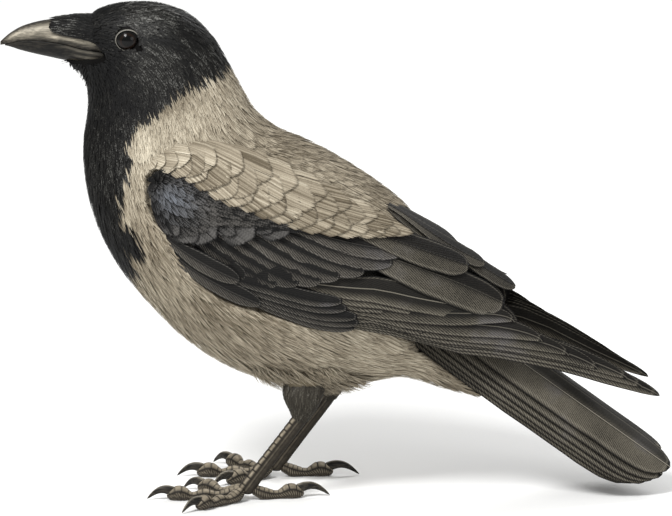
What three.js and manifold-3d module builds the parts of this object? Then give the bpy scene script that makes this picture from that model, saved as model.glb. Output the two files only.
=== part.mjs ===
// Hooded crow, life size, standing at ease with folded wings and a lowered tail.
// Millimetres, +Z up.  The bird faces -X and its left side is -Y.

import * as THREE from 'three';
import { mergeVertices } from 'three/addons/utils/BufferGeometryUtils.js';
import Module from 'manifold-3d';

const wasm = await Module();
wasm.setup();
const { Manifold, Mesh } = wasm;

// ---------------------------------------------------------------- driving sizes

const SEAM = 0.35;             // clearance left between neighbouring solids
const LEFT = -1;               // sign of Y on the bird's left
const RIGHT = 1;

const BODY_POINTS = 18;        // points round each body section
const BODY_ROUND = 2.15;       // squareness of the body sections

const EYE = { x: -124.8, z: 282, radius: 8.2, centreOut: 13.5 };
const LID = { long: 7, high: 6.3, out: 19.6 };

const FOOT_LEFT = { x: -53.4, y: -28, hindHeading: 191 };
const FOOT_RIGHT = { x: -36.4, y: 28, hindHeading: 172 };
const TARSUS = { run: 31.8, rise: 42.5, width: 5.2, depth: 8, knobWidth: 7, knobDepth: 8.6 };

const WING_ROUND = 2.2;        // squareness of the folded wing's sections

const TAIL = {
  rootX: 46.1, rootZ: 134, slope: 36, roll: 15, pairs: 6, length: 190, shorter: 3, width: 25,
  spread: 0.5, pitch: 2.5, step: 1.6, thick: 1.2, camber: 0.0135,
};

const BLACK_FEATHER = { colour: '#1d1d21', roughness: 0.62 };
const GREY_FEATHER = { colour: '#9a9280', roughness: 0.82 };
const HORN = { colour: '#2b2a2d', roughness: 0.42 };
const SCALES = { colour: '#232225', roughness: 0.58 };
const EYEBALL = { colour: '#1c110b', roughness: 0.08 };

// ---------------------------------------------------------------- small helpers

// Smooth curve through [at, value] knots, held level beyond both ends.
function curve(knots) {
  const last = knots.length - 1;
  const slope = knots.map((knot, i) => {
    const a = knots[Math.max(i - 1, 0)];
    const b = knots[Math.min(i + 1, last)];
    return (b[1] - a[1]) / (b[0] - a[0]);
  });
  return (at) => {
    if (at <= knots[0][0]) return knots[0][1];
    if (at >= knots[last][0]) return knots[last][1];
    let i = 0;
    while (at > knots[i + 1][0]) i += 1;
    const [x0, y0] = knots[i];
    const [x1, y1] = knots[i + 1];
    const h = x1 - x0;
    const t = (at - x0) / h;
    const t2 = t * t;
    const t3 = t2 * t;
    return y0 * (2 * t3 - 3 * t2 + 1) + slope[i] * h * (t3 - 2 * t2 + t)
      + y1 * (3 * t2 - 2 * t3) + slope[i + 1] * h * (t3 - t2);
  };
}

function mix(a, b, t) {
  return a + (b - a) * t;
}

function steps(count) {
  return Array.from({ length: count + 1 }, (_, i) => i / count);
}

// Solid made of rings of equal count, closed by a fan at each end.
function loft(rings) {
  const count = rings[0].length;
  const points = rings.flat();
  const first = points.length;
  for (const ring of [rings[0], rings[rings.length - 1]]) {
    const centre = new THREE.Vector3();
    ring.forEach((p) => centre.add(p));
    points.push(centre.divideScalar(count));
  }
  const faces = [];
  for (let i = 0; i + 1 < rings.length; i += 1) {
    for (let j = 0; j < count; j += 1) {
      const a = i * count + j;
      const b = i * count + ((j + 1) % count);
      faces.push([a, b, a + count], [b, b + count, a + count]);
    }
  }
  const end = (rings.length - 1) * count;
  for (let j = 0; j < count; j += 1) {
    const k = (j + 1) % count;
    faces.push([first, k, j], [first + 1, end + j, end + k]);
  }
  let volume = 0;
  for (const [a, b, c] of faces) {
    volume += points[a].dot(new THREE.Vector3().crossVectors(points[b], points[c]));
  }
  const order = volume > 0 ? faces : faces.map(([a, b, c]) => [a, c, b]);
  const geometry = new THREE.BufferGeometry().setFromPoints(points);
  geometry.setIndex(order.flat());
  return solid(geometry);
}

function solid(geometry) {
  geometry.deleteAttribute('normal');
  geometry.deleteAttribute('uv');
  const welded = mergeVertices(geometry, 1e-4);
  return new Manifold(new Mesh({
    numProp: 3,
    vertProperties: new Float32Array(welded.attributes.position.array),
    triVerts: new Uint32Array(welded.index.array),
  }));
}

function join(solids) {
  return solids.reduce((sum, next) => sum.add(next));
}

function cut(solid, tools) {
  return tools.reduce((left, tool) => left.subtract(tool), solid);
}

// The largest body of a solid; slivers left over from a cut are dropped.
function mainBody(whole) {
  return whole.decompose().reduce((a, b) => (b.volume() > a.volume() ? b : a));
}

function named(name, whole, finish) {
  const mesh = mainBody(whole).getMesh();
  const geometry = new THREE.BufferGeometry();
  const position = new Float32Array(mesh.numVert * 3);
  for (let i = 0; i < mesh.numVert; i += 1) {
    for (let k = 0; k < 3; k += 1) {
      position[i * 3 + k] = mesh.vertProperties[i * mesh.numProp + k];
    }
  }
  geometry.setAttribute('position', new THREE.BufferAttribute(position, 3));
  geometry.setIndex(new THREE.BufferAttribute(new Uint32Array(mesh.triVerts), 1));
  const welded = mergeVertices(geometry, 1e-3);
  welded.computeVertexNormals();
  const material = new THREE.MeshStandardMaterial({
    color: finish.colour, roughness: finish.roughness, metalness: 0, flatShading: true,
  });
  const part = new THREE.Mesh(welded, material);
  part.name = name;
  return part;
}

// ---------------------------------------------------------------- body sections

// Each section leans: its top lies on the crown, nape and back, its bottom on the
// chin, breast and belly.  Columns: top x, top z, bottom x, bottom z, half-width.
const SECTIONS = [
  ['face', -148.8, 290.6, -152.4, 260.0, 10.5],
  ['brow', -141.6, 295.3, -149.4, 252.7, 14],
  ['eye', -130.8, 298.6, -148.8, 245.5, 16.8],
  ['crown', -118.8, 299.9, -148.8, 238.8, 19.2],
  ['cheek', -103.0, 299.2, -149.4, 230.9, 22.6],
  ['occiput', -86.4, 292.6, -150.6, 222.3, 25.6],
  ['nape', -72.8, 278.8, -151.2, 212.4, 28.4],
  ['upper neck', -64.2, 261.8, -151.2, 201.8, 32],
  ['lower neck', -56.4, 246.5, -150.0, 189.5, 37],
  ['neck base', -48.0, 233.5, -147.0, 174.7, 43],
  ['shoulder', -35.2, 222.2, -140.4, 156.6, 49],
  ['breast', -18.6, 214.4, -129.2, 136.6, 54],
  ['keel', 0.0, 204.2, -112.4, 115.8, 56.5],
  ['belly', 19.2, 190.5, -89.6, 93.1, 57],
  ['loin', 38.4, 173.3, -60.0, 74.9, 55],
  ['hip', 56.4, 153.7, -24.6, 65.0, 47],
  ['rump', 73.2, 133.0, 8.4, 65.4, 38],
  ['lower rump', 87.6, 116.1, 38.4, 68.2, 29],
  ['vent', 100.2, 103.2, 63.6, 62.8, 23],
  ['tail coverts', 109.8, 95.3, 85.2, 56.6, 17],
];

const COLUMNS = [1, 2, 3, 4, 5].map((k) => curve(SECTIONS.map((row, i) => [i, row[k]])));

function sectionIndex(name) {
  return SECTIONS.findIndex((row) => row[0] === name);
}

// Ring of the body at place u along the row of sections, grown outward by grow.
function bodyRing(u, grow = 0) {
  const [topX, topZ, bottomX, bottomZ, half] = COLUMNS.map((column) => column(u));
  const middle = new THREE.Vector3((topX + bottomX) / 2, 0, (topZ + bottomZ) / 2);
  const up = new THREE.Vector3(topX - bottomX, 0, topZ - bottomZ).multiplyScalar(0.5);
  const tall = up.length() + grow;
  up.normalize();
  return Array.from({ length: BODY_POINTS }, (_, k) => {
    const angle = (2 * Math.PI * k) / BODY_POINTS;
    const c = Math.cos(angle);
    const s = Math.sin(angle);
    const wide = Math.sign(s) * Math.abs(s) ** (2 / BODY_ROUND) * (half + grow);
    const high = Math.sign(c) * Math.abs(c) ** (2 / BODY_ROUND) * tall;
    return middle.clone().addScaledVector(up, high).setY(wide);
  });
}

function bodyPiece(from, to, { grow = 0, perSection = 1 } = {}) {
  const count = Math.round((to - from) * perSection);
  const places = Array.from({ length: count + 1 }, (_, i) => mix(from, to, i / count));
  return loft(places.map((u) => bodyRing(u, grow)));
}

// ---------------------------------------------------------------- bill and eyes

const CULMEN = curve([[-200.2, 276.2], [-196.1, 280.8], [-189.7, 284.9], [-181.4, 287.7],
  [-171.3, 289.1], [-161.2, 290.2], [-146.4, 291.2], [-138, 290]]);
const TOMIUM = curve([[-200.2, 273.7], [-192.4, 276.2], [-183.2, 276.7], [-171.3, 276.4],
  [-160.3, 275], [-146.5, 271.3], [-138, 268.5]]);
const JAW = curve([[-197.5, 273.6], [-188.8, 270.4], [-179.5, 268.1], [-171.3, 267],
  [-161.2, 265.5], [-150.1, 263.4], [-138, 262]]);
const BILL_HALF = curve([[-200.2, 1.1], [-196, 2.6], [-190, 4.3], [-181, 6], [-171, 7.6],
  [-158, 9], [-146, 9.8], [-138, 9.8]]);
const BILL_POINTS = 7;

// Half-round section: a flat at z = edge and an arch that reaches z = crest.
function arch(x, half, edge, crest) {
  return Array.from({ length: BILL_POINTS }, (_, k) => {
    const angle = (Math.PI * k) / (BILL_POINTS - 1);
    const rise = Math.sin(angle) ** 0.85;
    return new THREE.Vector3(x, half * Math.cos(angle), mix(edge, crest, rise));
  });
}

const BILL_STATIONS = [-200.2, -198, -194.5, -188, -178, -164, -150, -138];

function upperBill(grow = 0) {
  return loft(BILL_STATIONS.map((x, i) => arch(
    x + (i ? grow : -grow), BILL_HALF(x) + grow, TOMIUM(x) - grow, CULMEN(x) + grow,
  )));
}

function lowerBill(grow = 0) {
  const stations = [-197.4, -195, -189, -178, -164, -150, -138];
  return loft(stations.map((x, i) => arch(
    x + (i ? grow : -grow), BILL_HALF(x) * 0.94 + grow,
    TOMIUM(x) - SEAM + grow, Math.min(JAW(x), TOMIUM(x) - 1) - grow,
  )));
}

// Stiff bristles lie forward over the nostrils; shorter ones clothe the chin.
function nasalBristles() {
  return loft([-172, -166, -156, -144].map((x) => {
    const t = (x + 172) / 28;
    const half = BILL_HALF(x) + mix(0.4, 2.2, t ** 0.6);
    return arch(x, half, mix(284.5, 273.5, t), CULMEN(x) + mix(0.4, 1.4, t ** 0.5));
  }));
}

function chinBristles() {
  const chin = curve([[-166, 265], [-160, 262.4], [-155, 257.6], [-150, 249.5], [-144, 246]]);
  return loft([-166, -158, -150, -144].map((x) => {
    const half = BILL_HALF(x) + mix(0.2, 1.6, (x + 166) / 22);
    return arch(x, half, 268.4, chin(x));
  }));
}

function eyeball(side, grow = 0) {
  const ball = new THREE.SphereGeometry(EYE.radius + grow, 10, 6);
  ball.rotateX(Math.PI / 2);
  ball.translate(EYE.x, side * EYE.centreOut, EYE.z);
  return solid(ball);
}

// A low oval mound round the eye; the eyeball's room opens it into a lid.
function eyelid(side) {
  const oval = (wider, out) => Array.from({ length: 10 }, (_, k) => {
    const angle = (2 * Math.PI * k) / 10;
    return new THREE.Vector3(EYE.x + Math.cos(angle) * (LID.long + wider), side * out,
      EYE.z + Math.sin(angle) * (LID.high + wider));
  });
  return loft([oval(1.4, LID.out - 4), oval(1.2, LID.out - 1.2), oval(0, LID.out)]);
}

function headSolid() {
  const skull = bodyPiece(0, sectionIndex('nape') - 0.02);
  const dressed = join([skull, nasalBristles(), chinBristles(), eyelid(LEFT), eyelid(RIGHT)]);
  return cut(dressed, [upperBill(SEAM), lowerBill(SEAM), eyeball(LEFT, SEAM),
    eyeball(RIGHT, SEAM)]);
}

// ---------------------------------------------------------------- legs and feet

// Round limb through [x, z, along-width, across-width] stations in a plane y = const.
function limb(y, stations, sides, grow = 0) {
  return loft(stations.map(([x, z, deep, wide], i) => {
    const a = stations[Math.max(i - 1, 0)];
    const b = stations[Math.min(i + 1, stations.length - 1)];
    const along = new THREE.Vector3(b[0] - a[0], 0, b[1] - a[1]).normalize();
    const front = new THREE.Vector3(along.z, 0, -along.x);
    const end = i === 0 ? -grow : (i === stations.length - 1 ? grow : 0);
    const centre = new THREE.Vector3(x, y, z).addScaledVector(along, end);
    return Array.from({ length: sides }, (_, k) => {
      const angle = (2 * Math.PI * (k + 0.5)) / sides;
      return centre.clone().addScaledVector(front, (deep / 2 + grow) * Math.cos(angle))
        .add(new THREE.Vector3(0, (wide / 2 + grow) * Math.sin(angle), 0));
    });
  }));
}

function tarsus(foot, grow = 0) {
  const place = (t, deep, wide) => [
    foot.x + TARSUS.run * t, 8 + TARSUS.rise * t, deep, wide,
  ];
  return limb(foot.y, [
    place(1.09, 5.4, 4.8),
    place(1.0, TARSUS.knobDepth, TARSUS.knobWidth),
    place(0.88, TARSUS.depth + 0.4, TARSUS.width + 0.5),
    place(0.5, TARSUS.depth, TARSUS.width),
    place(0.16, TARSUS.depth + 0.3, TARSUS.width + 0.6),
    place(0, TARSUS.knobDepth, TARSUS.knobWidth + 0.6),
    place(-0.09, 6.6, 6.4),
  ], 8, grow);
}

function thigh(foot, grow = 0) {
  const x = foot.x + TARSUS.run;
  const z = 8 + TARSUS.rise;
  return limb(foot.y, [
    [x + 13, z + 56, 42, 26],
    [x + 5.5, z + 30, 38, 25],
    [x + 1.5, z + 15, 27, 20],
    [x + 1.5, z + 5, 15, 13],
    [x + 1.5, z - 1.5, 9.8, 9.4],
  ], 10, grow);
}

// Toes 1 to 4: 1 is the hind toe, 2 the inner, 3 the middle, 4 the outer.
const TOES = [
  { name: 'hind', length: 32, claw: 18, pads: 2, start: 3 },
  { name: 'inner', heading: -31, length: 30, claw: 12, pads: 2, start: 4 },
  { name: 'middle', heading: 3, length: 44, claw: 14, pads: 3, start: 3.5 },
  { name: 'outer', heading: 46, length: 33, claw: 12, pads: 3, start: 4 },
];

// Heading 0 is straight ahead (-X); positive headings swing away from the body.
function toeDirection(foot, toe) {
  const angle = THREE.MathUtils.degToRad(toe.heading ?? foot.hindHeading);
  return new THREE.Vector3(-Math.cos(angle), Math.sign(foot.y) * Math.sin(angle), 0);
}

// Six-sided tube with a flat underside; centres run forward from the leg.
function tube(centres, radii, grow = 0) {
  const last = centres.length - 1;
  return loft(centres.map((centre, i) => {
    const along = centres[Math.min(i + 1, last)].clone().sub(centres[Math.max(i - 1, 0)]);
    along.normalize();
    const across = new THREE.Vector3(0, 0, 1).cross(along).normalize();
    const up = along.clone().cross(across);
    const end = (i === last ? grow : 0) - (i === 0 ? grow : 0);
    const middle = centre.clone().addScaledVector(along, end);
    return Array.from({ length: 6 }, (_, k) => {
      const angle = (Math.PI * k) / 3;
      const r = radii[i] + grow;
      return middle.clone().addScaledVector(across, r * Math.cos(angle))
        .addScaledVector(up, r * Math.sin(angle));
    });
  }));
}

const FLAT = Math.cos(Math.PI / 6);    // centre to underside, for a radius of 1

function toeSolid(foot, toe, grow = 0) {
  const ahead = toeDirection(foot, toe);
  const centres = [];
  const radii = [];
  steps(2 * toe.pads).forEach((t, i) => {
    const pad = i % 2 ? 0.35 : 0;
    const tipPad = i === 2 * toe.pads - 1 ? 0.7 : 0;
    const radius = mix(3.3, 2.8, t) + pad + tipPad;
    const floor = radius * FLAT;
    const centre = new THREE.Vector3(foot.x, foot.y, i === 0 ? 7 : floor);
    centres.push(centre.addScaledVector(ahead, mix(toe.start, toe.length, t)));
    radii.push(radius);
  });
  return tube(centres, radii, grow);
}

function clawSolid(foot, toe, grow = 0) {
  const ahead = toeDirection(foot, toe);
  const centres = [];
  const radii = [];
  for (const t of steps(4)) {
    const reach = toe.length - 3 + (toe.claw + 3) * t;
    const rise = mix(3.6, 0.9, t ** 1.7) + toe.claw * 0.3 * Math.sin(Math.PI * t);
    const centre = new THREE.Vector3(foot.x, foot.y, rise);
    centres.push(centre.addScaledVector(ahead, reach));
    radii.push(mix(2.5, 0.45, t));
  }
  return tube(centres, radii, grow);
}

function legParts(tag, foot, bodyRooms) {
  const shank = tarsus(foot);
  const shankRoom = tarsus(foot, SEAM);
  const parts = [
    named(`thigh_${tag}`, cut(thigh(foot), [...bodyRooms, shankRoom]), BLACK_FEATHER),
    named(`tarsus_${tag}`, shank, SCALES),
  ];
  const [hind, inner, middle, outer] = TOES;
  const room = (toe) => toeSolid(foot, toe, SEAM);
  const keepClear = new Map([
    [hind, []], [middle, [room(hind)]], [inner, [room(middle), room(hind)]],
    [outer, [room(middle), room(inner), room(hind)]],
  ]);
  for (const [toe, others] of keepClear) {
    const claw = clawSolid(foot, toe);
    const clawRoom = clawSolid(foot, toe, SEAM);
    const body = cut(toeSolid(foot, toe), [shankRoom, clawRoom, ...others]);
    parts.push(named(`toe_${toe.name}_${tag}`, body, SCALES));
    parts.push(named(`claw_${toe.name}_${tag}`, claw, HORN));
  }
  return parts;
}

// ---------------------------------------------------------------- folded wings

// The outer face of the folded wing is a half-barrel over the flank: for each x a
// widest line, a top edge, a half-width and a depth below the widest line.
const WING_MID = curve([[-114, 172], [-80, 166], [-50, 156], [0, 134], [50, 109], [90, 91],
  [140, 73], [200, 57]]);
const WING_TOP = curve([[-114, 236], [-80, 240], [-50, 234], [0, 208], [50, 173], [90, 143],
  [140, 105], [200, 66]]);
const WING_OUT = curve([[-114, 45], [-95, 53], [-70, 58], [-30, 61], [10, 60], [50, 54],
  [90, 41], [140, 26], [200, 13]]);
const WING_DEEP = curve([[-114, 75], [0, 78], [90, 60], [200, 40]]);

// Lower edge of the folded wing, from the wrist along the hand to the wing tip.
const WING_EDGE = curve([[-116, 196], [-111, 179], [-105, 171], [-100, 163], [-95, 154],
  [-86, 143], [-69, 131], [-55, 126], [-42, 122], [-14, 113], [7, 110], [26, 108],
  [51, 101], [75, 94], [100, 89], [130, 80], [149, 74], [173, 66], [195, 60]]);

// Upper edge of the shoulder feathers, then of the innermost flight feathers.
const SCAPULAR_TOP = curve([[-110, 205], [-97, 213], [-83, 216], [-69, 215], [-55, 213],
  [-35, 209], [-14, 200], [7, 189], [27, 177.5], [45, 167]]);
const SCAPULAR_EDGE = curve([[-110, 203], [-94, 204], [-83, 197], [-69, 189], [-55, 183],
  [-35, 177], [-14, 174], [13, 169], [41, 165], [45, 166]]);

// Place on the wing for x and a turn about the barrel (0 at the widest line).
function wingPlace(x, turn) {
  const tall = turn >= 0 ? WING_TOP(x) - WING_MID(x) : WING_DEEP(x);
  const c = Math.max(Math.cos(turn), 0);
  const s = Math.sin(turn);
  return new THREE.Vector3(
    x, WING_OUT(x) * c ** (2 / WING_ROUND),
    WING_MID(x) + tall * Math.sign(s) * Math.abs(s) ** (2 / WING_ROUND),
  );
}

function wingTurn([x, z]) {
  const rise = z - WING_MID(x);
  const tall = rise >= 0 ? WING_TOP(x) - WING_MID(x) : WING_DEEP(x);
  const share = Math.min(Math.abs(rise) / tall, 0.995);
  return Math.sign(rise) * Math.asin(share ** (WING_ROUND / 2));
}

function wingTangents(x, turn) {
  const here = wingPlace(x, turn);
  const alongX = wingPlace(x + 0.5, turn).sub(here).multiplyScalar(2);
  const alongTurn = wingPlace(x, turn - 0.02).sub(here).multiplyScalar(-50);
  const normal = alongTurn.clone().cross(alongX).normalize();
  return { here, alongX, alongTurn, normal };
}

// The right wing is folded a touch shorter and carried a little higher.
function settle(side, p) {
  if (side === LEFT) return new THREE.Vector3(p.x, -p.y, p.z);
  const reach = p.x + 114;
  return new THREE.Vector3(-114 + reach * 0.98, p.y, p.z + reach * 0.022);
}

function liftedPlace(side, x, turn, lift) {
  const { here, normal } = wingTangents(x, turn);
  return settle(side, here.addScaledVector(normal, lift));
}

const VANE_SHAPE = curve([[0, 0.6], [0.2, 0.9], [0.5, 1], [0.88, 0.9], [1, 0.3]]);

// One feather laid on the wing along line(t) = [x, z].  Its outer face sinks from
// depth.tip to depth.root below the wing's outer face; its inner face lies flat.
function wingVane(side, line, width, depth, grow = 0) {
  const start = new THREE.Vector2(...line(0));
  const reach = start.distanceTo(new THREE.Vector2(...line(1)));
  const even = Math.max(1, Math.round(reach / 70));
  const stops = [...steps(even).map((t) => t * 0.88), 1];
  return loft(stops.map((t) => {
    const before = line(Math.max(t - 0.03, 0));
    const after = line(Math.min(t + 0.03, 1));
    const ends = (t === 1 ? grow : 0) - (t === 0 ? grow : 0);
    const heading = new THREE.Vector2(after[0] - before[0], after[1] - before[1]).normalize();
    const x = line(t)[0] + heading.x * ends;
    const turn = wingTurn([x, line(t)[1] + heading.y * ends]);
    const { alongX, alongTurn, normal } = wingTangents(x, turn);
    const along = wingPlace(after[0], wingTurn(after)).sub(wingPlace(before[0], wingTurn(before)));
    const across = normal.clone().cross(along).normalize();
    const g11 = alongX.dot(alongX);
    const g12 = alongX.dot(alongTurn);
    const g22 = alongTurn.dot(alongTurn);
    const det = g11 * g22 - g12 * g12;
    const r1 = across.dot(alongX);
    const r2 = across.dot(alongTurn);
    const dx = (r1 * g22 - r2 * g12) / det;
    const dTurn = (r2 * g11 - r1 * g12) / det;
    const half = (width / 2) * VANE_SHAPE(t) + grow;
    const lanes = width > 25 ? [-1, 0, 1] : [-1, 1];
    const edge = (lane, lift) => liftedPlace(side, x + dx * half * lane,
      Math.min(turn + dTurn * half * lane, 1.5), lift);
    const outer = mix(depth.root, depth.tip, t) + grow;
    const top = lanes.map((lane) => edge(lane, outer));
    const inner = mix(depth.inner, depth.innerTip ?? depth.inner, t) - grow;
    const under = lanes.map((lane) => edge(lane, inner)).reverse();
    return [...top, ...under];
  }));
}

// A sheet of feathers between two lines on the wing.
function wingSheet(side, lower, upper, outer, inner, rows, columns, grow = 0) {
  return loft(steps(columns).map((t) => {
    const low = lower(t);
    const high = upper(t);
    const lowTurn = wingTurn(low) - grow / 60;
    const highTurn = wingTurn(high) + grow / 60;
    const shift = grow * (t - 0.5) * 2;
    const places = steps(rows).map((k) => [
      mix(low[0], high[0], k) + shift, mix(lowTurn, highTurn, k),
    ]);
    const face = (lift) => places.map(([x, turn]) => liftedPlace(side, x, turn, lift(x)));
    return [...face((x) => outer(x) + grow), ...face((x) => inner(x) - grow).reverse()];
  }));
}

// Line at the given height above x; a crowd over 1 packs its columns near the wrist.
function along(from, to, height, crowd = 1) {
  return (t) => {
    const x = mix(from, to, t ** crowd);
    return [x, height(x)];
  };
}

function bowed(root, tip, bow = 0) {
  return (t) => [mix(root[0], tip[0], t), mix(root[1], tip[1], t) + 4 * bow * t * (1 - t)];
}

// Line through the given places, one for each column of a sheet.
function through(places) {
  return (t) => {
    const at = t * (places.length - 1);
    const i = Math.min(Math.floor(at), places.length - 2);
    return [0, 1].map((k) => mix(places[i][k], places[i + 1][k], at - i));
  };
}

const level = (lift) => () => lift;

// The layers lie over one another like shingles, shoulder feathers outermost.
function scapulars(side, grow = 0) {
  const lower = along(-110, 45, (x) => SCAPULAR_EDGE(x) - 0.5);
  const upper = along(-110, 45, (x) => SCAPULAR_TOP(x) + 0.5);
  return wingSheet(side, lower, upper, level(0), level(-1.6), 3, 8, grow);
}

function shoulder(side, grow = 0) {
  const tips = curve([[-114, 194], [-106, 176], [-98, 165], [-86, 161], [-73, 162],
    [-52, 165], [-32, 168], [-20, 172], [0, 174]]);
  const upper = along(-113, 2, (x) => Math.min(SCAPULAR_EDGE(x) + 6, SCAPULAR_TOP(x) - 0.5));
  return wingSheet(side, along(-114, 0, tips), upper, level(-0.6), level(-3), 2, 7, grow);
}

// Tips of the long secondary coverts with the notches between them.
const COVERT_TIPS = [[-92, 152], [-64, 146], [-36, 141], [-32, 144], [-12, 141.5],
  [-8, 145.5], [4, 144], [8, 148], [19, 147], [23, 153], [34, 152], [37, 158], [43, 161]];
const COVERT_ROOTS = [[-92, 170], [-74, 175], [-56, 175], [-46, 175], [-36, 175],
  [-28, 175], [-20, 175], [-10, 174.5], [0, 174], [8, 173], [18, 171], [28, 169], [38, 167]];

function coverts(side, grow = 0) {
  return wingSheet(side, through(COVERT_TIPS), through(COVERT_ROOTS), level(-1.2), level(-4.4),
    2, COVERT_TIPS.length - 1, grow);
}

function alula(side, grow = 0) {
  return join([
    wingVane(side, bowed([-96, 164], [-58, 141], 1), 12, { root: -2.4, tip: -1.8, inner: -4.8 }, grow),
    wingVane(side, bowed([-94, 158], [-45, 127], -1), 11,
      { root: -2.8, tip: -2.2, inner: -5 }, grow),
  ]);
}

const TERTIALS = [
  { root: [2, 181.5], tip: [63, 157], bow: 1, width: 26 },
  { root: [0, 170], tip: [81, 144], bow: 3, width: 23 },
  { root: [0, 156], tip: [103, 122], bow: 4, width: 23 },
];

function tertials(side, grow = 0) {
  return join(TERTIALS.map(({ root, tip, bow, width }, i) => wingVane(side,
    bowed(root, tip, bow), width,
    { root: -3.4 - 0.4 * i, tip: -0.4 * i, inner: -5.8 - 0.2 * i }, grow)));
}

function primaryCoverts(side, grow = 0) {
  const lower = along(-88, 13, (x) => WING_EDGE(x) + 0.6);
  const upper = through([[-88, 152], [-70, 147], [-50, 142], [-20, 137], [4, 130]]);
  return wingSheet(side, lower, upper, level(-2.6), level(-6.4), 2, 6, grow);
}

const SECONDARY_LOWER = [[-60, 126], [-10, 120], [30, 116], [62, 110], [66, 113.5], [74, 113.5],
  [79, 116.5], [89, 117]];
const SECONDARY_UPPER = [[-60, 146], [-20, 150], [10, 154], [30, 152], [44, 148], [58, 142],
  [72, 136], [86, 126]];

function secondaries(side, grow = 0) {
  const outer = curve([[-60, -5], [20, -4.2], [60, -3.6], [90, -2.6]]);
  return wingSheet(side, through(SECONDARY_LOWER), through(SECONDARY_UPPER), outer,
    level(-8), 2, SECONDARY_LOWER.length - 1, grow);
}

const PRIMARY_WIDTH = 15;
const PRIMARY_TIPS = [[110, 112], [124, 98], [140, 88], [158, 79], [176, 72], [195, 61.5]];

// The closed hand, then the primaries' free tips, each beneath the one before.
function primaries(side, grow = 0) {
  const outer = curve([[-50, -6], [20, -5.4], [60, -5], [100, -3], [125, -0.6]]);
  const hand = wingSheet(side, along(-50, 118, (x) => WING_EDGE(x) + 0.4),
    along(-50, 96, (x) => WING_EDGE(x) + 17), outer, level(-9.6), 2, 5, grow);
  const tips = PRIMARY_TIPS.map(([tipX, tipZ], i) => {
    const rootX = 80 + 5 * i;
    const extra = tipZ - WING_EDGE(tipX) - 1.5;
    const line = (t) => {
      const x = mix(rootX, tipX, t);
      return [x, WING_EDGE(x) + (PRIMARY_WIDTH / 2) * VANE_SHAPE(t) + mix(6 - i, extra, t)];
    };
    return wingVane(side, line, PRIMARY_WIDTH,
      { root: outer(rootX) - 0.3 * i, tip: -0.3 * i, inner: -9, innerTip: -3 - 0.2 * i }, grow);
  });
  return join([hand, ...tips]);
}

// Each layer gives way to the layers that lie over it.
const WING_LAYERS = [
  { name: 'scapulars', build: scapulars, finish: GREY_FEATHER, over: [] },
  { name: 'wing_shoulder', build: shoulder, over: [scapulars] },
  { name: 'wing_coverts', build: coverts, over: [shoulder, scapulars] },
  { name: 'alula', build: alula, over: [coverts, shoulder] },
  { name: 'tertials', build: tertials, over: [coverts, scapulars] },
  { name: 'primary_coverts', build: primaryCoverts, over: [coverts, alula] },
  { name: 'secondaries', build: secondaries, over: [coverts, tertials, primaryCoverts] },
  { name: 'primaries', build: primaries, over: [primaryCoverts, secondaries, tertials] },
];

function wingParts(tag, side) {
  return WING_LAYERS.map(({ name, build, finish = BLACK_FEATHER, over }) => {
    const rooms = over.map((upper) => upper(side, SEAM));
    return named(`${name}_${tag}`, cut(build(side), rooms), finish);
  });
}

// Room in the flank for the whole folded wing.
function wingBed(side) {
  const above = curve([[-4, 1.5], [8, 6], [38, 6]]);
  const top = (x) => Math.max(SCAPULAR_TOP(x) + above(x), x > 38 ? WING_TOP(x) - 0.3 : 0);
  const lower = along(-117, 120, (x) => WING_EDGE(x) - 1.6, 1.5);
  const upper = along(-115, 120, top, 1.5);
  return wingSheet(side, lower, upper, level(14), level(-10.2), 3, 13);
}

// ---------------------------------------------------------------- tail

const TAIL_SHAPE = curve([[0, 0.6], [0.3, 0.86], [0.6, 0.97], [0.86, 1], [0.95, 0.78], [1, 0.3]]);

// The tail fans slightly, droops at its edges and is rolled a little to the left.
function tailPlace(forward, sideways, level) {
  const roll = THREE.MathUtils.degToRad(TAIL.roll);
  const slope = THREE.MathUtils.degToRad(TAIL.slope);
  const droop = -TAIL.camber * sideways * sideways + level;
  const y = sideways * Math.cos(roll) - droop * Math.sin(roll);
  const up = sideways * Math.sin(roll) + droop * Math.cos(roll);
  return new THREE.Vector3(TAIL.rootX + forward * Math.cos(slope) + up * Math.sin(slope), y,
    TAIL.rootZ - forward * Math.sin(slope) + up * Math.cos(slope));
}

// Outer edge of each feather of one side at a distance along the tail, centre pair first.
function tailEdges(side, reach) {
  const edges = [];
  for (let pair = 0; pair < TAIL.pairs; pair += 1) {
    const heading = THREE.MathUtils.degToRad(TAIL.spread * (pair + 0.5));
    const share = Math.min(reach / (TAIL.length - TAIL.shorter * pair), 1);
    const middle = TAIL.pitch * (pair + 0.5) + reach * Math.tan(heading);
    const edge = middle + (TAIL.width / 2) * TAIL_SHAPE(share);
    const floor = pair ? edges[pair - 1] + 0.6 : 0;
    edges.push(share < 1 ? Math.max(edge, floor) : Math.max(floor, 4));
  }
  return edges;
}

// The feathers overlap like roof tiles, so the tail's section is a low stair.
function tail() {
  const stops = [0.25, 0.55, 0.85, 0.92, 0.96, 0.99, 1];
  return loft(stops.map((t) => {
    const reach = TAIL.length * t;
    const stair = (side) => tailEdges(side, reach).flatMap((edge, pair) => {
      const top = -TAIL.step * (pair + (side === RIGHT ? 0.5 : 0));
      return [[side * edge, top], [side * edge, top - TAIL.step]];
    });
    const left = stair(LEFT);
    const right = stair(RIGHT);
    const under = (out) => [out * 0.55, -TAIL.step * TAIL.pairs - TAIL.thick * 0.6];
    const profile = [...left.slice(0, -1), [left[11][0], left[11][1] - TAIL.thick],
      under(left[11][0]), under(right[11][0]),
      [right[11][0], right[11][1] - TAIL.thick], ...right.slice(0, -1).reverse()];
    return profile.map(([sideways, deep]) => tailPlace(reach, sideways, deep));
  }));
}

// ---------------------------------------------------------------- the whole bird

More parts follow.
